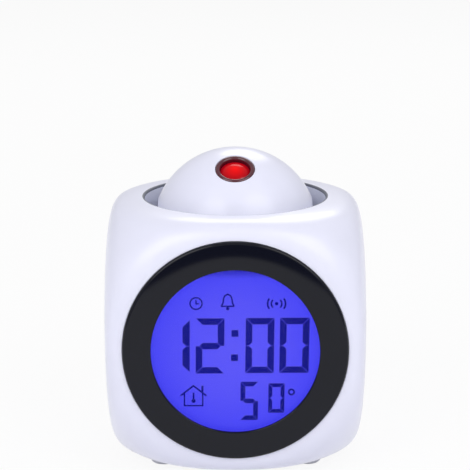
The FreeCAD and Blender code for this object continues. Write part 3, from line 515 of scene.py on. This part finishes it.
def soft_cube_tree():
    """The soft cube; CROWD draws the grid's lines towards the edges, where it bends most."""
    tree, given = new_tree("soft_cube", **{"Half width": 0.039, "Corner ball": 0.05436,
                                           "Sharpness": 21.07, "Height": 0.0398, "Cells": 96,
                                           "Material": None})
    half = given.outputs["Half width"]
    power = given.outputs["Sharpness"]
    cells = given.outputs["Cells"]
    cube = add_node(tree, "GeometryNodeMeshCube",
                    {"Size": (2, 2, 2), "Vertices X": cells, "Vertices Y": cells,
                     "Vertices Z": cells})
    at = add_node(tree, "GeometryNodeInputPosition").outputs[0]
    square = add_node(tree, "ShaderNodeVectorMath", {0: at, 1: at}, operation="MULTIPLY")
    crowd = add_node(tree, "ShaderNodeVectorMath",
                     {0: square.outputs[0], 1: (-CROWD,) * 3, 2: (1 + CROWD,) * 3},
                     operation="MULTIPLY_ADD")
    warped = add_node(tree, "ShaderNodeVectorMath", {0: crowd.outputs[0], 1: at},
                      operation="MULTIPLY")
    way = add_node(tree, "ShaderNodeVectorMath", {0: warped.outputs[0]},
                   operation="NORMALIZE").outputs[0]
    size = add_node(tree, "ShaderNodeVectorMath", {0: way}, operation="ABSOLUTE").outputs[0]
    parts = add_node(tree, "ShaderNodeSeparateXYZ", {0: size})
    ball = maths(tree, "POWER", maths(tree, "DIVIDE", half, given.outputs["Corner ball"]),
                 power)
    total = ball
    for axis in "XYZ":
        total = maths(tree, "ADD", total, maths(tree, "POWER", parts.outputs[axis], power))
    share = maths(tree, "DIVIDE", maths(tree, "ADD", ball, 1.0), total)
    reach = maths(tree, "MULTIPLY", half,
                  maths(tree, "POWER", share, maths(tree, "DIVIDE", 1.0, power)))
    spot = add_node(tree, "ShaderNodeVectorMath", {0: way, "Scale": reach},
                    operation="SCALE").outputs[0]
    lift = add_node(tree, "ShaderNodeCombineXYZ", {"Z": given.outputs["Height"]}).outputs[0]
    place = add_node(tree, "ShaderNodeVectorMath", {0: spot, 1: lift}, operation="ADD")
    moved = add_node(tree, "GeometryNodeSetPosition",
                     {"Geometry": cube.outputs[0], "Position": place.outputs[0]})
    close_tree(tree, moved.outputs[0], given)
    return tree


SOFT_CUBE = soft_cube_tree()
outer = grow("outer_form", SOFT_CUBE, Material=HOUSING)
inner = grow("inner_form", SOFT_CUBE, **{"Half width": 0.0368, "Corner ball": 0.0514,
                                         "Cells": 40, "Material": HOUSING})
groove = grow("groove_form", SOFT_CUBE, **{"Half width": 0.03875, "Corner ball": 0.0541,
                                           "Cells": 60, "Material": HOUSING})
door_form = copy_of(outer, "door_form")
print("outer form: %d points" % len(outer.data.vertices))

# %% [markdown]
# ## Holes in the floor
# Seven round holes let the speaker's sound out: one in the middle and six round it. They
# repeat, so a small tree places one cutter on the points of a hexagon.


# %% Sound hole cutters
def hole_tree():
    tree, given = new_tree("hole_pattern", **{"Hole radius": 0.0012, "Pitch": 0.006,
                                              "Count": 6, "Depth": 0.02, "Material": None})
    drill = add_node(tree, "GeometryNodeMeshCylinder",
                     {"Vertices": 32, "Radius": given.outputs["Hole radius"],
                      "Depth": given.outputs["Depth"]}).outputs["Mesh"]
    around = add_node(tree, "GeometryNodeMeshCircle",
                      {"Vertices": given.outputs["Count"], "Radius": given.outputs["Pitch"]})
    middle = add_node(tree, "GeometryNodeMeshLine", {"Count": 1})
    spots = add_node(tree, "GeometryNodeJoinGeometry")
    for source in (around, middle):
        tree.links.new(source.outputs[0], spots.inputs[0])
    drills = add_node(tree, "GeometryNodeInstanceOnPoints",
                      {"Points": spots.outputs[0], "Instance": drill})
    close_tree(tree, drills.outputs[0], given)
    return tree


sound_holes = grow("sound_holes", hole_tree(), Material=HOUSING)

# %% [markdown]
# ## Two shells from one form
# The shells are cut from the soft cube as a mould would shut them off: hollow first, then
# the well, the display's recess and the small openings, then the split 9 mm from the rear.
# A shallow groove all round marks that split.

# %% Hollow, well and display
# The lip is a quarter round of radius LIP, which runs out on the top at RIM_Z. Its dark finish
# is painted shade:
# the dark line of the shadowed gap between rim and ball. Its cutter stays clear of the well's
# wall below the round, so that the wall keeps its grey, which is painted shade on the housing's
# white plastic.
WELL_R = 27.8
LIP = 0.7
RIM_Z = 78.645
CUT_R = 28.9
COLLAR_R = 29.4
RECESS_R = 33.25
WINDOW_R = 30.5
LEDGE_Y = -37.8
upright_place = turn_about((0, 0, 0), TOP)
display_place = turn_about((0, LEDGE_Y, DISPLAY_Z), FRONT)
well = lathe("well", [(0, 60), (WELL_R, 60), (WELL_R, 90), (0, 90)], upright_place, PAINTED_WELL_SHADE, 192)
lip_round = [(WELL_R + LIP - LIP * math.cos(a), RIM_Z - LIP + LIP * math.sin(a))
             for a in [math.radians(d) for d in range(0, 91, 6)]]
lip = lathe("lip", [(20, 77.4), (WELL_R - 0.4, 77.4), (WELL_R - 0.05, 77.9)] + lip_round
            + [(CUT_R, RIM_Z + 0.015), (CUT_R, 84), (20, 84)], upright_place, PAINTED_RIM_SHADE, 192)
collar = lathe("collar", [(0, 68.8), (COLLAR_R, 68.8, 0.3), (COLLAR_R, 77.2), (0, 77.2)],
               upright_place, HOUSING, 192)
recess = lathe("recess", [(0, 0), (RECESS_R, 0), (RECESS_R, 9), (0, 9)], display_place,
               HOUSING, 256)
window = lathe("window", [(0, -6), (WINDOW_R, -6), (WINDOW_R, 0.6), (0, 0.6)], display_place,
               HOUSING, 192)
shell = carve(outer, [inner])
shell = carve(shell, [collar], "UNION")
shell = carve(shell, [well, lip, recess, window])
tell(shell)

# %% Feet, sound and seam
FOOT_AT = (-22, 22)
SEAM_Y = 30
pockets = [lathe(f"pocket_{x}_{y}", [(0, -5), (4.15, -5), (4.15, 1.6), (0, 1.6)],
                 turn_about((x, y, 0), TOP), HOUSING, 48)
           for x in FOOT_AT for y in FOOT_AT]
shell = carve(shell, pockets + [sound_holes])
ring = carve(block("seam_slab", (-60, SEAM_Y - 0.1, -20), (60, SEAM_Y + 0.1, 100), HOUSING),
             [groove])
shell = carve(shell, [ring])
rear = copy_of(shell, "rear_body")
main = carve(shell, [block("keep_front", (-60, -60, -20), (60, SEAM_Y, 100), HOUSING)],
             "INTERSECT")
rear = carve(rear, [block("keep_rear", (-60, SEAM_Y, -20), (60, 60, 100), HOUSING)],
             "INTERSECT")
tell(main, rear)

# %% Battery bay, door recess and key holes
BAY_END = BAY_LONG / 2
BAY_LOW = 21.85
BAY_HIGH = 54.55
BAY_FRONT = 25.75
BAY_WALL = 1.2
HINGE_Z = 22.2
KEY_Z = 63.8
KEY_X = (-15, -5, 5, 15)
hinge_place = turn_about((0, 38, HINGE_Z), RIGHT)
rear = carve(rear, [
    block("bay_box", (-BAY_END - BAY_WALL, BAY_FRONT - BAY_WALL, BAY_LOW - BAY_WALL),
          (BAY_END + BAY_WALL, 37.6, BAY_HIGH + BAY_WALL), HOUSING)], "UNION")
rear = carve(rear, [
    block("bay_room", (-BAY_END, BAY_FRONT, BAY_LOW), (BAY_END, 45, BAY_HIGH), HOUSING),
    block("door_room", (-25.3, 36.85, 20.9), (25.3, 45, 55.5), HOUSING),
    lathe("hinge_bore", [(0, -26.4), (0.66, -26.4), (0.66, 26.4), (0, 26.4)], hinge_place,
          HOUSING, 24)]
    + [lathe(f"key_bore_{i}", [(0, -5), (3.65, -5), (3.65, 5), (0, 5)],
             turn_about((x, 38, KEY_Z), REAR), HOUSING, 64) for i, x in enumerate(KEY_X)])
main.name = "main_shell_form"
rear.name = "rear_shell_form"
for form, node in ((main, "main_shell"), (rear, "rear_shell")):
    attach(form, "housing")
    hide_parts(node)
tell(main, rear)

# %% [markdown]
# ## Battery door
# The door is a piece of the same soft cube, so it lies flush with the rear at every point.
# Its lower edge is a rod with a pin at each end, and a scoop with fine ribs gives a thumb
# its grip. The ribs repeat, so a tree makes them.


# %% Door with its grip ribs
def rib_tree():
    tree, given = new_tree("grip_ribs", **{"Count": 5, "Pitch": 0.002, "Length": 0.014,
                                           "Rib radius": 0.0005, "Place": Vector((0, 0, 0)),
                                           "Material": None})
    bar = add_node(tree, "GeometryNodeMeshCylinder",
                   {"Vertices": 16, "Side Segments": 1, "Radius": given.outputs["Rib radius"],
                    "Depth": given.outputs["Length"]}).outputs["Mesh"]
    lying = add_node(tree, "GeometryNodeTransform",
                     {"Geometry": bar, "Rotation": (0, math.pi / 2, 0)}).outputs[0]
    step = add_node(tree, "ShaderNodeCombineXYZ", {"Z": given.outputs["Pitch"]}).outputs[0]
    line = add_node(tree, "GeometryNodeMeshLine",
                    {"Count": given.outputs["Count"], "Start Location": given.outputs["Place"],
                     "Offset": step})
    bars = add_node(tree, "GeometryNodeInstanceOnPoints",
                    {"Points": line.outputs[0], "Instance": lying})
    close_tree(tree, bars.outputs[0], given)
    return tree


ribs = grow("grip_ribs", rib_tree(), **{"Place": Vector((0, 38.82, 34.0)) * MM,
                                        "Material": HOUSING})
door = carve(door_form, [block("door_blank", (-25, 37, HINGE_Z), (25, 45, 55.2), HOUSING)],
             "INTERSECT")
door = carve(door, [
    lathe("door_edge", [(0, -25), (1, -25, 0.15), (1, 25, 0.15), (0, 25)], hinge_place,
          HOUSING, 32),
    block("door_tab", (-4, 34.6, 53.25), (4, 38, 54.25), HOUSING), ribs], "UNION")
door = carve(door, [
    lathe("door_pins", [(0, -26.1), (0.6, -26.1, 0.15), (0.6, 26.1, 0.15), (0, 26.1)],
          hinge_place, HOUSING, 24)], "UNION")
door = carve(door, [lathe("grip_scoop", [(0, -7), (8, -7, 0.5), (8, 7, 0.5), (0, 7)],
                          turn_about((0, 46.2, 48.4), RIGHT), HOUSING, 96)])
door.name = "battery_door_form"
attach(door, "door")
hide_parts("battery_door")
tell(door)

# %% [markdown]
# ## Ring round the display
# A glossy black ring, turned, with a soft outer round and a crisper inner one.

# %% Bezel ring
bezel = lathe("bezel_ring_form",
              [(24.7, 0.8), (27.15, 0.8), (27.15, 0), (33.1, 0, 0.1), (33.1, 1.6, 0.75),
               (24.7, 1.6, 0.4)], display_place, BEZEL, 256, arc=8, smooth=60)
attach(bezel, "housing")
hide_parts("bezel_ring")
tell(bezel)

# %% [markdown]
# ## Figures of the display
# A display of this kind draws its digits from seven bars with mitred ends and thin gaps.
# `digit` gives the bars of one digit; each sign is a thin plate on the front of the glass.

# %% Seven-bar digits
plates = []
BARS = {"0": "abcdef", "1": "bc", "2": "abged", "5": "afgcd"}
SLANT = 0.012


def shrink(corners, gap):
    """A convex outline with each side moved in by gap."""
    made = []
    count = len(corners)
    for i in range(count):
        before, here, after = (Vector(corners[j % count]) for j in (i - 1, i, i + 1))
        one = (here - before).normalized()
        two = (after - here).normalized()
        bend = 1 + one.dot(two)
        made.append(here + (Vector((-one.y, one.x)) + Vector((-two.y, two.x))) * gap / bend)
    return made


def digit(which, x, z, wide, tall, thick, gap=0.16):
    """The bars of a digit whose lower left corner is at x, z, turned anticlockwise."""
    m = tall / 2
    t = thick
    bars = {
        "a": [(0, tall), (t, tall - t), (wide - t, tall - t), (wide, tall)],
        "d": [(0, 0), (wide, 0), (wide - t, t), (t, t)],
        "g": [(t / 2, m), (t, m - t / 2), (wide - t, m - t / 2), (wide - t / 2, m),
              (wide - t, m + t / 2), (t, m + t / 2)],
        "b": [(wide, tall), (wide - t, tall - t), (wide - t, m + t / 2), (wide - t / 2, m),
              (wide, m)],
        "c": [(wide, 0), (wide, m), (wide - t / 2, m), (wide - t, m - t / 2), (wide - t, t)],
        "e": [(0, 0), (t, t), (t, m - t / 2), (t / 2, m), (0, m)],
        "f": [(0, tall), (0, m), (t / 2, m), (t, m + t / 2), (t, tall - t)]}
    for bar in BARS[which]:
        inset = shrink(bars[bar], gap / 2)
        plates.append([(x + u + SLANT * v, z + v) for u, v in inset])


def disc(x, z, outside, inside=0.0, start=0.0, end=360.0, steps=28):
    """A disc, a ring or a part of a ring, as one plate for each step."""
    for k in range(steps):
        a, b = (math.radians(start + (end - start) * j / steps) for j in (k, k + 1))
        near = [(x + inside * math.cos(j), z + inside * math.sin(j)) for j in (b, a)]
        far = [(x + outside * math.cos(j), z + outside * math.sin(j)) for j in (a, b)]
        plates.append(far + (near if inside else [(x, z)]))


digit("1", -20.75, -6.9, 7.35, 16.2, 2.25)
digit("2", -11.78, -7.25, 8.5, 17.0, 2.08)
digit("0", 2.80, -7.15, 8.5, 17.0, 2.08)
digit("0", 12.80, -7.1, 8.75, 17.0, 2.08)
digit("5", 1.32, -21.75, 5.3, 12.0, 1.5, 0.12)
digit("0", 9.58, -19.5, 4.85, 9.25, 1.25, 0.12)
for x, z in ((-0.12, 5.1), (-0.27, -2.35)):
    plates.append([(x - 1.0, z - 1.0), (x + 1.0, z - 1.0), (x + 1.0, z + 1.0),
                   (x - 1.0, z + 1.0)])
disc(16.5, -13.0, 1.05, 0.55)
print("plates of the digits:", len(plates))

# %% Small signs: clock, bell, waves and a house with a thermometer
def stroke(line, wide):
    """A drawn line: one plate for each run and a small disc at each joint."""
    for (a, b), (c, d) in zip(line, line[1:]):
        along = Vector((c - a, d - b)).normalized() * wide / 2
        side = Vector((-along.y, along.x))
        plates.append([(a - side.x, b - side.y), (c - side.x, d - side.y),
                       (c + side.x, d + side.y), (a + side.x, b + side.y)])
    for a, b in line[1:-1]:
        disc(a, b, wide / 2, steps=10)


def bell(x, z, scale, wide):
    """A bell's outline with its rim and clapper, standing on x, z."""
    side = [(0.0, 4.9), (0.9, 4.35), (1.25, 3.4), (1.35, 2.2), (1.9, 1.25)]
    whole = [(-u, v) for u, v in reversed(side)] + side[1:]
    stroke([(x + u * scale, z + v * scale) for u, v in whole], wide)
    stroke([(x - 1.95 * scale, z + 1.25 * scale), (x + 1.95 * scale, z + 1.25 * scale)], wide)
    disc(x, z + 0.55 * scale, 0.5 * scale, steps=16)


disc(-11.4, 14.2, 1.95, 1.55)
stroke([(-11.4, 15.3), (-11.4, 14.1), (-10.5, 14.1)], 0.36)
bell(-2.2, 12.1, 1.0, 0.42)
disc(12.0, 14.1, 0.5, steps=16)
for way in (0, 180):
    disc(12.0, 14.1, 1.75, 1.3, way - 48, way + 48, 12)
    disc(12.0, 14.1, 2.85, 2.35, way - 36, way + 36, 14)
stroke([(-16.2, -14.1), (-12.4, -11.0), (-8.6, -14.1)], 0.5)
stroke([(-15.1, -13.4), (-15.1, -17.2), (-9.7, -17.2), (-9.7, -13.4)], 0.42)
stroke([(-9.75, -11.0), (-9.75, -12.9)], 0.6)
stroke([(-12.4, -13.2), (-12.4, -16.0)], 0.5)
disc(-12.4, -15.7, 0.62, steps=16)


# %% Plates to one mesh
def raise_plates(name, outlines, material, y_back, y_front, z_origin):
    """Prisms from outlines in mm, between two depths."""
    points = []
    faces = []
    for outline in outlines:
        spots = [Vector(p) for p in outline]
        area = sum(a.x * b.y - b.x * a.y for a, b in zip(spots, spots[1:] + spots[:1]))
        if area < 0:
            spots.reverse()
        first = len(points)
        count = len(spots)
        for y in (y_back, y_front):
            points += [(p.x * MM, y * MM, (p.y + z_origin) * MM) for p in spots]
        faces.append([first + k for k in range(count)])
        faces.append([first + count + k for k in reversed(range(count))])
        for k in range(count):
            j = (k + 1) % count
            faces.append([first + k, first + j, first + count + j, first + count + k])
    return piece(name, points, faces, material)


figures = raise_plates("display_figures", plates, FIGURE, -36.49, -36.54, DISPLAY_Z)
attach(figures, "housing")
print("figures: %d plates" % len(plates))

# %% [markdown]
# ## Projector ball
# The ball turns on two side pins in its yoke, so its sides are flat there. Its mouth holds
# the lens ring, and its open base takes the cover.

# %% Ball
BALL_R = 25.7
MOUTH = 5.975
BASE = -13.6
HOLLOW_R = 14
HOLLOW_TOP = 12.4
COVER_R = 16.2
COVER_Z = -12.0
FLAT_X = 23.6
STEPS = 84
lens_place = turn_about(BALL_CENTRE, LENS_AXIS)
low = math.asin(BASE / BALL_R)
high = math.acos(MOUTH / BALL_R)
sphere_line = [(BALL_R * math.cos(a), BALL_R * math.sin(a))
               for a in [low + (high - low) * k / STEPS for k in range(1, STEPS)]]
base_edge = math.sqrt(BALL_R ** 2 - BASE ** 2)
ball = lathe("projector_ball_form",
             [(COVER_R, BASE), (base_edge, BASE, 0.4)] + sphere_line
             + [(MOUTH, math.sqrt(BALL_R ** 2 - MOUTH ** 2), 0.12), (MOUTH, HOLLOW_TOP),
                (HOLLOW_R, HOLLOW_TOP), (HOLLOW_R, COVER_Z), (COVER_R, COVER_Z)],
             lens_place, HOUSING, 192)
ball = carve(ball, [block("between_flats", (-FLAT_X, -40, 30), (FLAT_X, 40, 110), HOUSING)],
             "INTERSECT")
ball = carve(ball, [lathe(f"pin_{side}", [(0, 21.4), (3, 21.4), (3, 26.5, 0.3), (0, 26.5)],
                          turn_about(BALL_CENTRE, (side, 0, 0)), HOUSING, 48)
                    for side in (-1, 1)], "UNION")
ball.name = "projector_ball_form"
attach(ball, "ball")
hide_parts("projector_ball")
tell(ball)

# %% Lens ring and lit lens
lens_ring = lathe("lens_ring_form", [(4.55, 19.15), (5.9, 19.15), (5.9, 25.15, 0.6),
                                     (4.55, 25.15, 0.62)],
                  lens_place, RING, 128, arc=8, smooth=60)
LENS_R = 4.4
LENS_EDGE = 23.75
BULGE = 1.3
RINGS = 14
DOME = (LENS_R ** 2 + BULGE ** 2) / (2 * BULGE)
dome_line = [(r, LENS_EDGE + math.sqrt(DOME ** 2 - r ** 2) - DOME + BULGE)
             for r in [LENS_R * k / RINGS for k in range(RINGS, -1, -1)]]
lens = lathe("lens_form", [(0, 22.15), (LENS_R, 22.15)] + dome_line, lens_place, LIT_LENS, 96)
for thing, node in ((lens_ring, "lens_ring"), (lens, "lens")):
    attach(thing, "ball")
    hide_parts(node)
tell(lens_ring, lens)

# %% [markdown]
# ## Rear keys
# Four round keys with a shallow dish, each with a raised sign below it: clock, bell, up, down.

# %% Keys
for i, x in enumerate(KEY_X):
    cap = lathe(f"key_{i + 1}_form",
                [(0, 0), (1.7, 0), (1.7, 2.45), (4.5, 2.45), (4.5, 3.25), (3.5, 3.25),
                 (3.5, 6.8, 0.7), (2.7, 6.78, 0.4), (1.6, 6.55, 1.2), (0, 6.5)],
                turn_about((x, 33.4, KEY_Z), REAR), KEY, 64)
    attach(cap, "key_" + "abcd"[i])
    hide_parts(f"key_{i + 1}")
    tell(cap)

# %% Raised signs by the keys
plates = []
disc(-15, 57.6, 1.3, 0.95)
stroke([(-15, 58.4), (-15, 57.5), (-14.3, 57.5)], 0.3)
bell(-5, 56.1, 0.6, 0.3)
plates += [[(3.8, 56.8), (6.2, 56.8), (5.0, 58.7)], [(13.8, 58.4), (15.0, 56.5), (16.2, 58.4)]]
signs = raise_plates("key_signs", plates, KEY, 38.3, 39.04, 0)
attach(signs, "housing")
tell(signs)

# %% [markdown]
# ## Wound springs
# The yoke's return springs and the battery springs are wound wire. A tree sweeps a circle
# along a spiral; the same tree gives straight and tapered coils.


# %% Coil tree
def coil_tree():
    tree, given = new_tree("coil", **{"Turns": 3.5, "Start radius": 0.0026,
                                      "End radius": 0.0026, "Length": 0.0038,
                                      "Wire radius": 0.0003, "Place": Vector((0, 0, 0)),
                                      "Turn": Vector((0, 0, 0)), "Material": None})
    spiral = add_node(tree, "GeometryNodeCurveSpiral",
                      {"Resolution": 28, "Rotations": given.outputs["Turns"],
                       "Start Radius": given.outputs["Start radius"],
                       "End Radius": given.outputs["End radius"],
                       "Height": given.outputs["Length"]}).outputs[0]
    wire = add_node(tree, "GeometryNodeCurvePrimitiveCircle",
                    {"Resolution": 8, "Radius": given.outputs["Wire radius"]}).outputs[0]
    swept = add_node(tree, "GeometryNodeCurveToMesh",
                     {"Curve": spiral, "Profile Curve": wire, "Fill Caps": True}).outputs[0]
    placed = add_node(tree, "GeometryNodeTransform",
                      {"Geometry": swept, "Translation": given.outputs["Place"],
                       "Rotation": given.outputs["Turn"]}).outputs[0]
    close_tree(tree, placed, given)
    return tree


COIL = coil_tree()
for side, hand in ((-1, "left"), (1, "right")):
    spring = grow(f"return_coil_{hand}", COIL, **{
        "Length": 0.0032, "Place": Vector((18 * side, 0, 33.5)) * MM, "Material": METAL})
    spring.data.shade_smooth()
    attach(spring, "housing")
    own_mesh(spring)
    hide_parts(f"return_spring_{hand}")
    tell(spring)

# %% Battery contacts: plate, studs and tapered coils
CELL_Y = 31.3
CELL_Z = (27.3, 38.2, 49.1)
PLATE_X = 23.8
PLATE_THICK = 0.4
for side, hand in ((-1, "left"), (1, "right")):
    ends = sorted((side * PLATE_X, side * (PLATE_X + PLATE_THICK)))
    made = block(f"battery_contacts_{hand}_form", (ends[0], CELL_Y - 4, BAY_LOW),
                 (ends[1], CELL_Y + 4, BAY_HIGH), METAL)
    for i, z in enumerate(CELL_Z):
        if (i % 2 == 0) == (side < 0):
            extra = grow(f"coil_{hand}_{i}", COIL, **{
                "Turns": 3.0, "Start radius": 0.0027, "End radius": 0.0014,
                "Length": 0.0019, "Wire radius": 0.00022,
                "Place": Vector((side * 23.75, CELL_Y, z)) * MM,
                "Turn": Vector((0, -side * math.pi / 2, 0)), "Material": METAL})
        else:
            extra = lathe(f"stud_{hand}_{i}", [(0, 0), (1.9, 0), (1.9, 0.9, 0.3), (0, 0.9)],
                          turn_about((side * PLATE_X, CELL_Y, z), (-side, 0, 0)), METAL, 32)
        join = bmesh.new()
        join.from_mesh(made.data)
        join.from_mesh(extra.data)
        join.to_mesh(made.data)
        join.free()
        bpy.data.objects.remove(extra)
    made.data.shade_smooth()
    made.data.set_sharp_from_angle(angle=math.radians(35))
    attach(made, "housing")
    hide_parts(f"battery_contacts_{hand}")
    tell(made)

# %% [markdown]
# ## Floor and light
# A wide white floor and a soft studio light: two large lamps in front, one on each side, a
# weaker one behind and a pale world. The floor shows near white to the camera and in gloss
# but still takes the clock's shadow. A card on the floor in front, dark at its far part and
# seen only in gloss, gives the ring its darker upper band.


# %% Floor and card
FLOOR_Z = -0.05 * MM
CARD_NEAR = 0.285
CARD_FADE = 0.036


def stage_plane(name, low, high, z, material):
    thing = piece(name, [(low[0], low[1], z), (high[0], low[1], z), (high[0], high[1], z),
                         (low[0], high[1], z)], [(0, 1, 2, 3)], material)
    return thing


def floor_material():
    material = bpy.data.materials.new("studio_floor")
    material.use_nodes = True
    tree = material.node_tree
    surface = tree.nodes["Principled BSDF"]
    surface.inputs["Base Color"].default_value = (0.86, 0.86, 0.87, 1)
    surface.inputs["Roughness"].default_value = 0.9
    shine = add_node(tree, "ShaderNodeEmission", {"Color": (1, 1, 1, 1), "Strength": 1.0})
    path = add_node(tree, "ShaderNodeLightPath")
    seen = maths(tree, "MAXIMUM", path.outputs["Is Camera Ray"],
                 maths(tree, "MAXIMUM", path.outputs["Is Glossy Ray"],
                       path.outputs["Is Transmission Ray"]))
    mix = add_node(tree, "ShaderNodeMixShader", {
        0: maths(tree, "MULTIPLY", seen, 0.9), 1: surface.outputs[0], 2: shine.outputs[0]})
    tree.links.new(mix.outputs[0], tree.nodes["Material Output"].inputs["Surface"])
    return material


stage_plane("floor", (-6, -6), (6, 6), FLOOR_Z, floor_material())


def card_material():
    """White at the edge near the clock, dark beyond it, so that the ring's band is soft."""
    material = bpy.data.materials.new("graded_card")
    material.use_nodes = True
    tree = material.node_tree
    place = add_node(tree, "ShaderNodeTexCoord").outputs["Object"]
    far = add_node(tree, "ShaderNodeSeparateXYZ", {"Vector": place}).outputs["Y"]
    share = maths(tree, "MULTIPLY_ADD", far, -1 / CARD_FADE, -CARD_NEAR / CARD_FADE)
    tone = ramp(tree, share, [(0.0, (1, 1, 1)), (1.0, (0.10, 0.10, 0.16))])
    shine = add_node(tree, "ShaderNodeEmission", {"Color": tone})
    tree.links.new(shine.outputs[0], tree.nodes["Material Output"].inputs["Surface"])
    return material


card = stage_plane("card", (-0.9, -1.1), (0.9, -CARD_NEAR), 0.002, card_material())
for ray in ("camera", "diffuse", "shadow", "transmission", "volume_scatter"):
    setattr(card, "visible_" + ray, False)
print("the card starts %.0f mm in front" % (CARD_NEAR / MM))


# %% Lamps and world
def lamp(name, at, aim, size, power):
    data = bpy.data.lights.new(name, "AREA")
    data.shape = "DISK"
    data.size = size
    data.energy = power
    made = bpy.data.objects.new(name, data)
    made.location = at
    made.rotation_euler = (Vector(aim) - Vector(at)).to_track_quat("-Z", "Y").to_euler()
    bpy.context.scene.collection.objects.link(made)


lamp("key_lamp", (-0.62, -0.85, 0.78), (0, 0, 0.045), 0.85, 4.9)
lamp("fill_lamp", (0.68, -0.72, 0.86), (0, 0, 0.045), 0.9, 4.6)
lamp("back_lamp", (0.1, 0.95, 0.8), (0, 0, 0.05), 0.6, 2.4)
WORLD_LIGHT = 0.54
world = bpy.data.worlds.new("studio")
world.use_nodes = True
bpy.context.scene.world = world
tree = world.node_tree
sky = tree.nodes["Background"]
seen = add_node(tree, "ShaderNodeLightPath").outputs["Is Camera Ray"]
tree.links.new(maths(tree, "MULTIPLY_ADD", seen, 1 - WORLD_LIGHT, WORLD_LIGHT),
               sky.inputs["Strength"])
sky.inputs["Color"].default_value = (1, 1, 1, 1)
print("lamps:", len(bpy.data.lights))
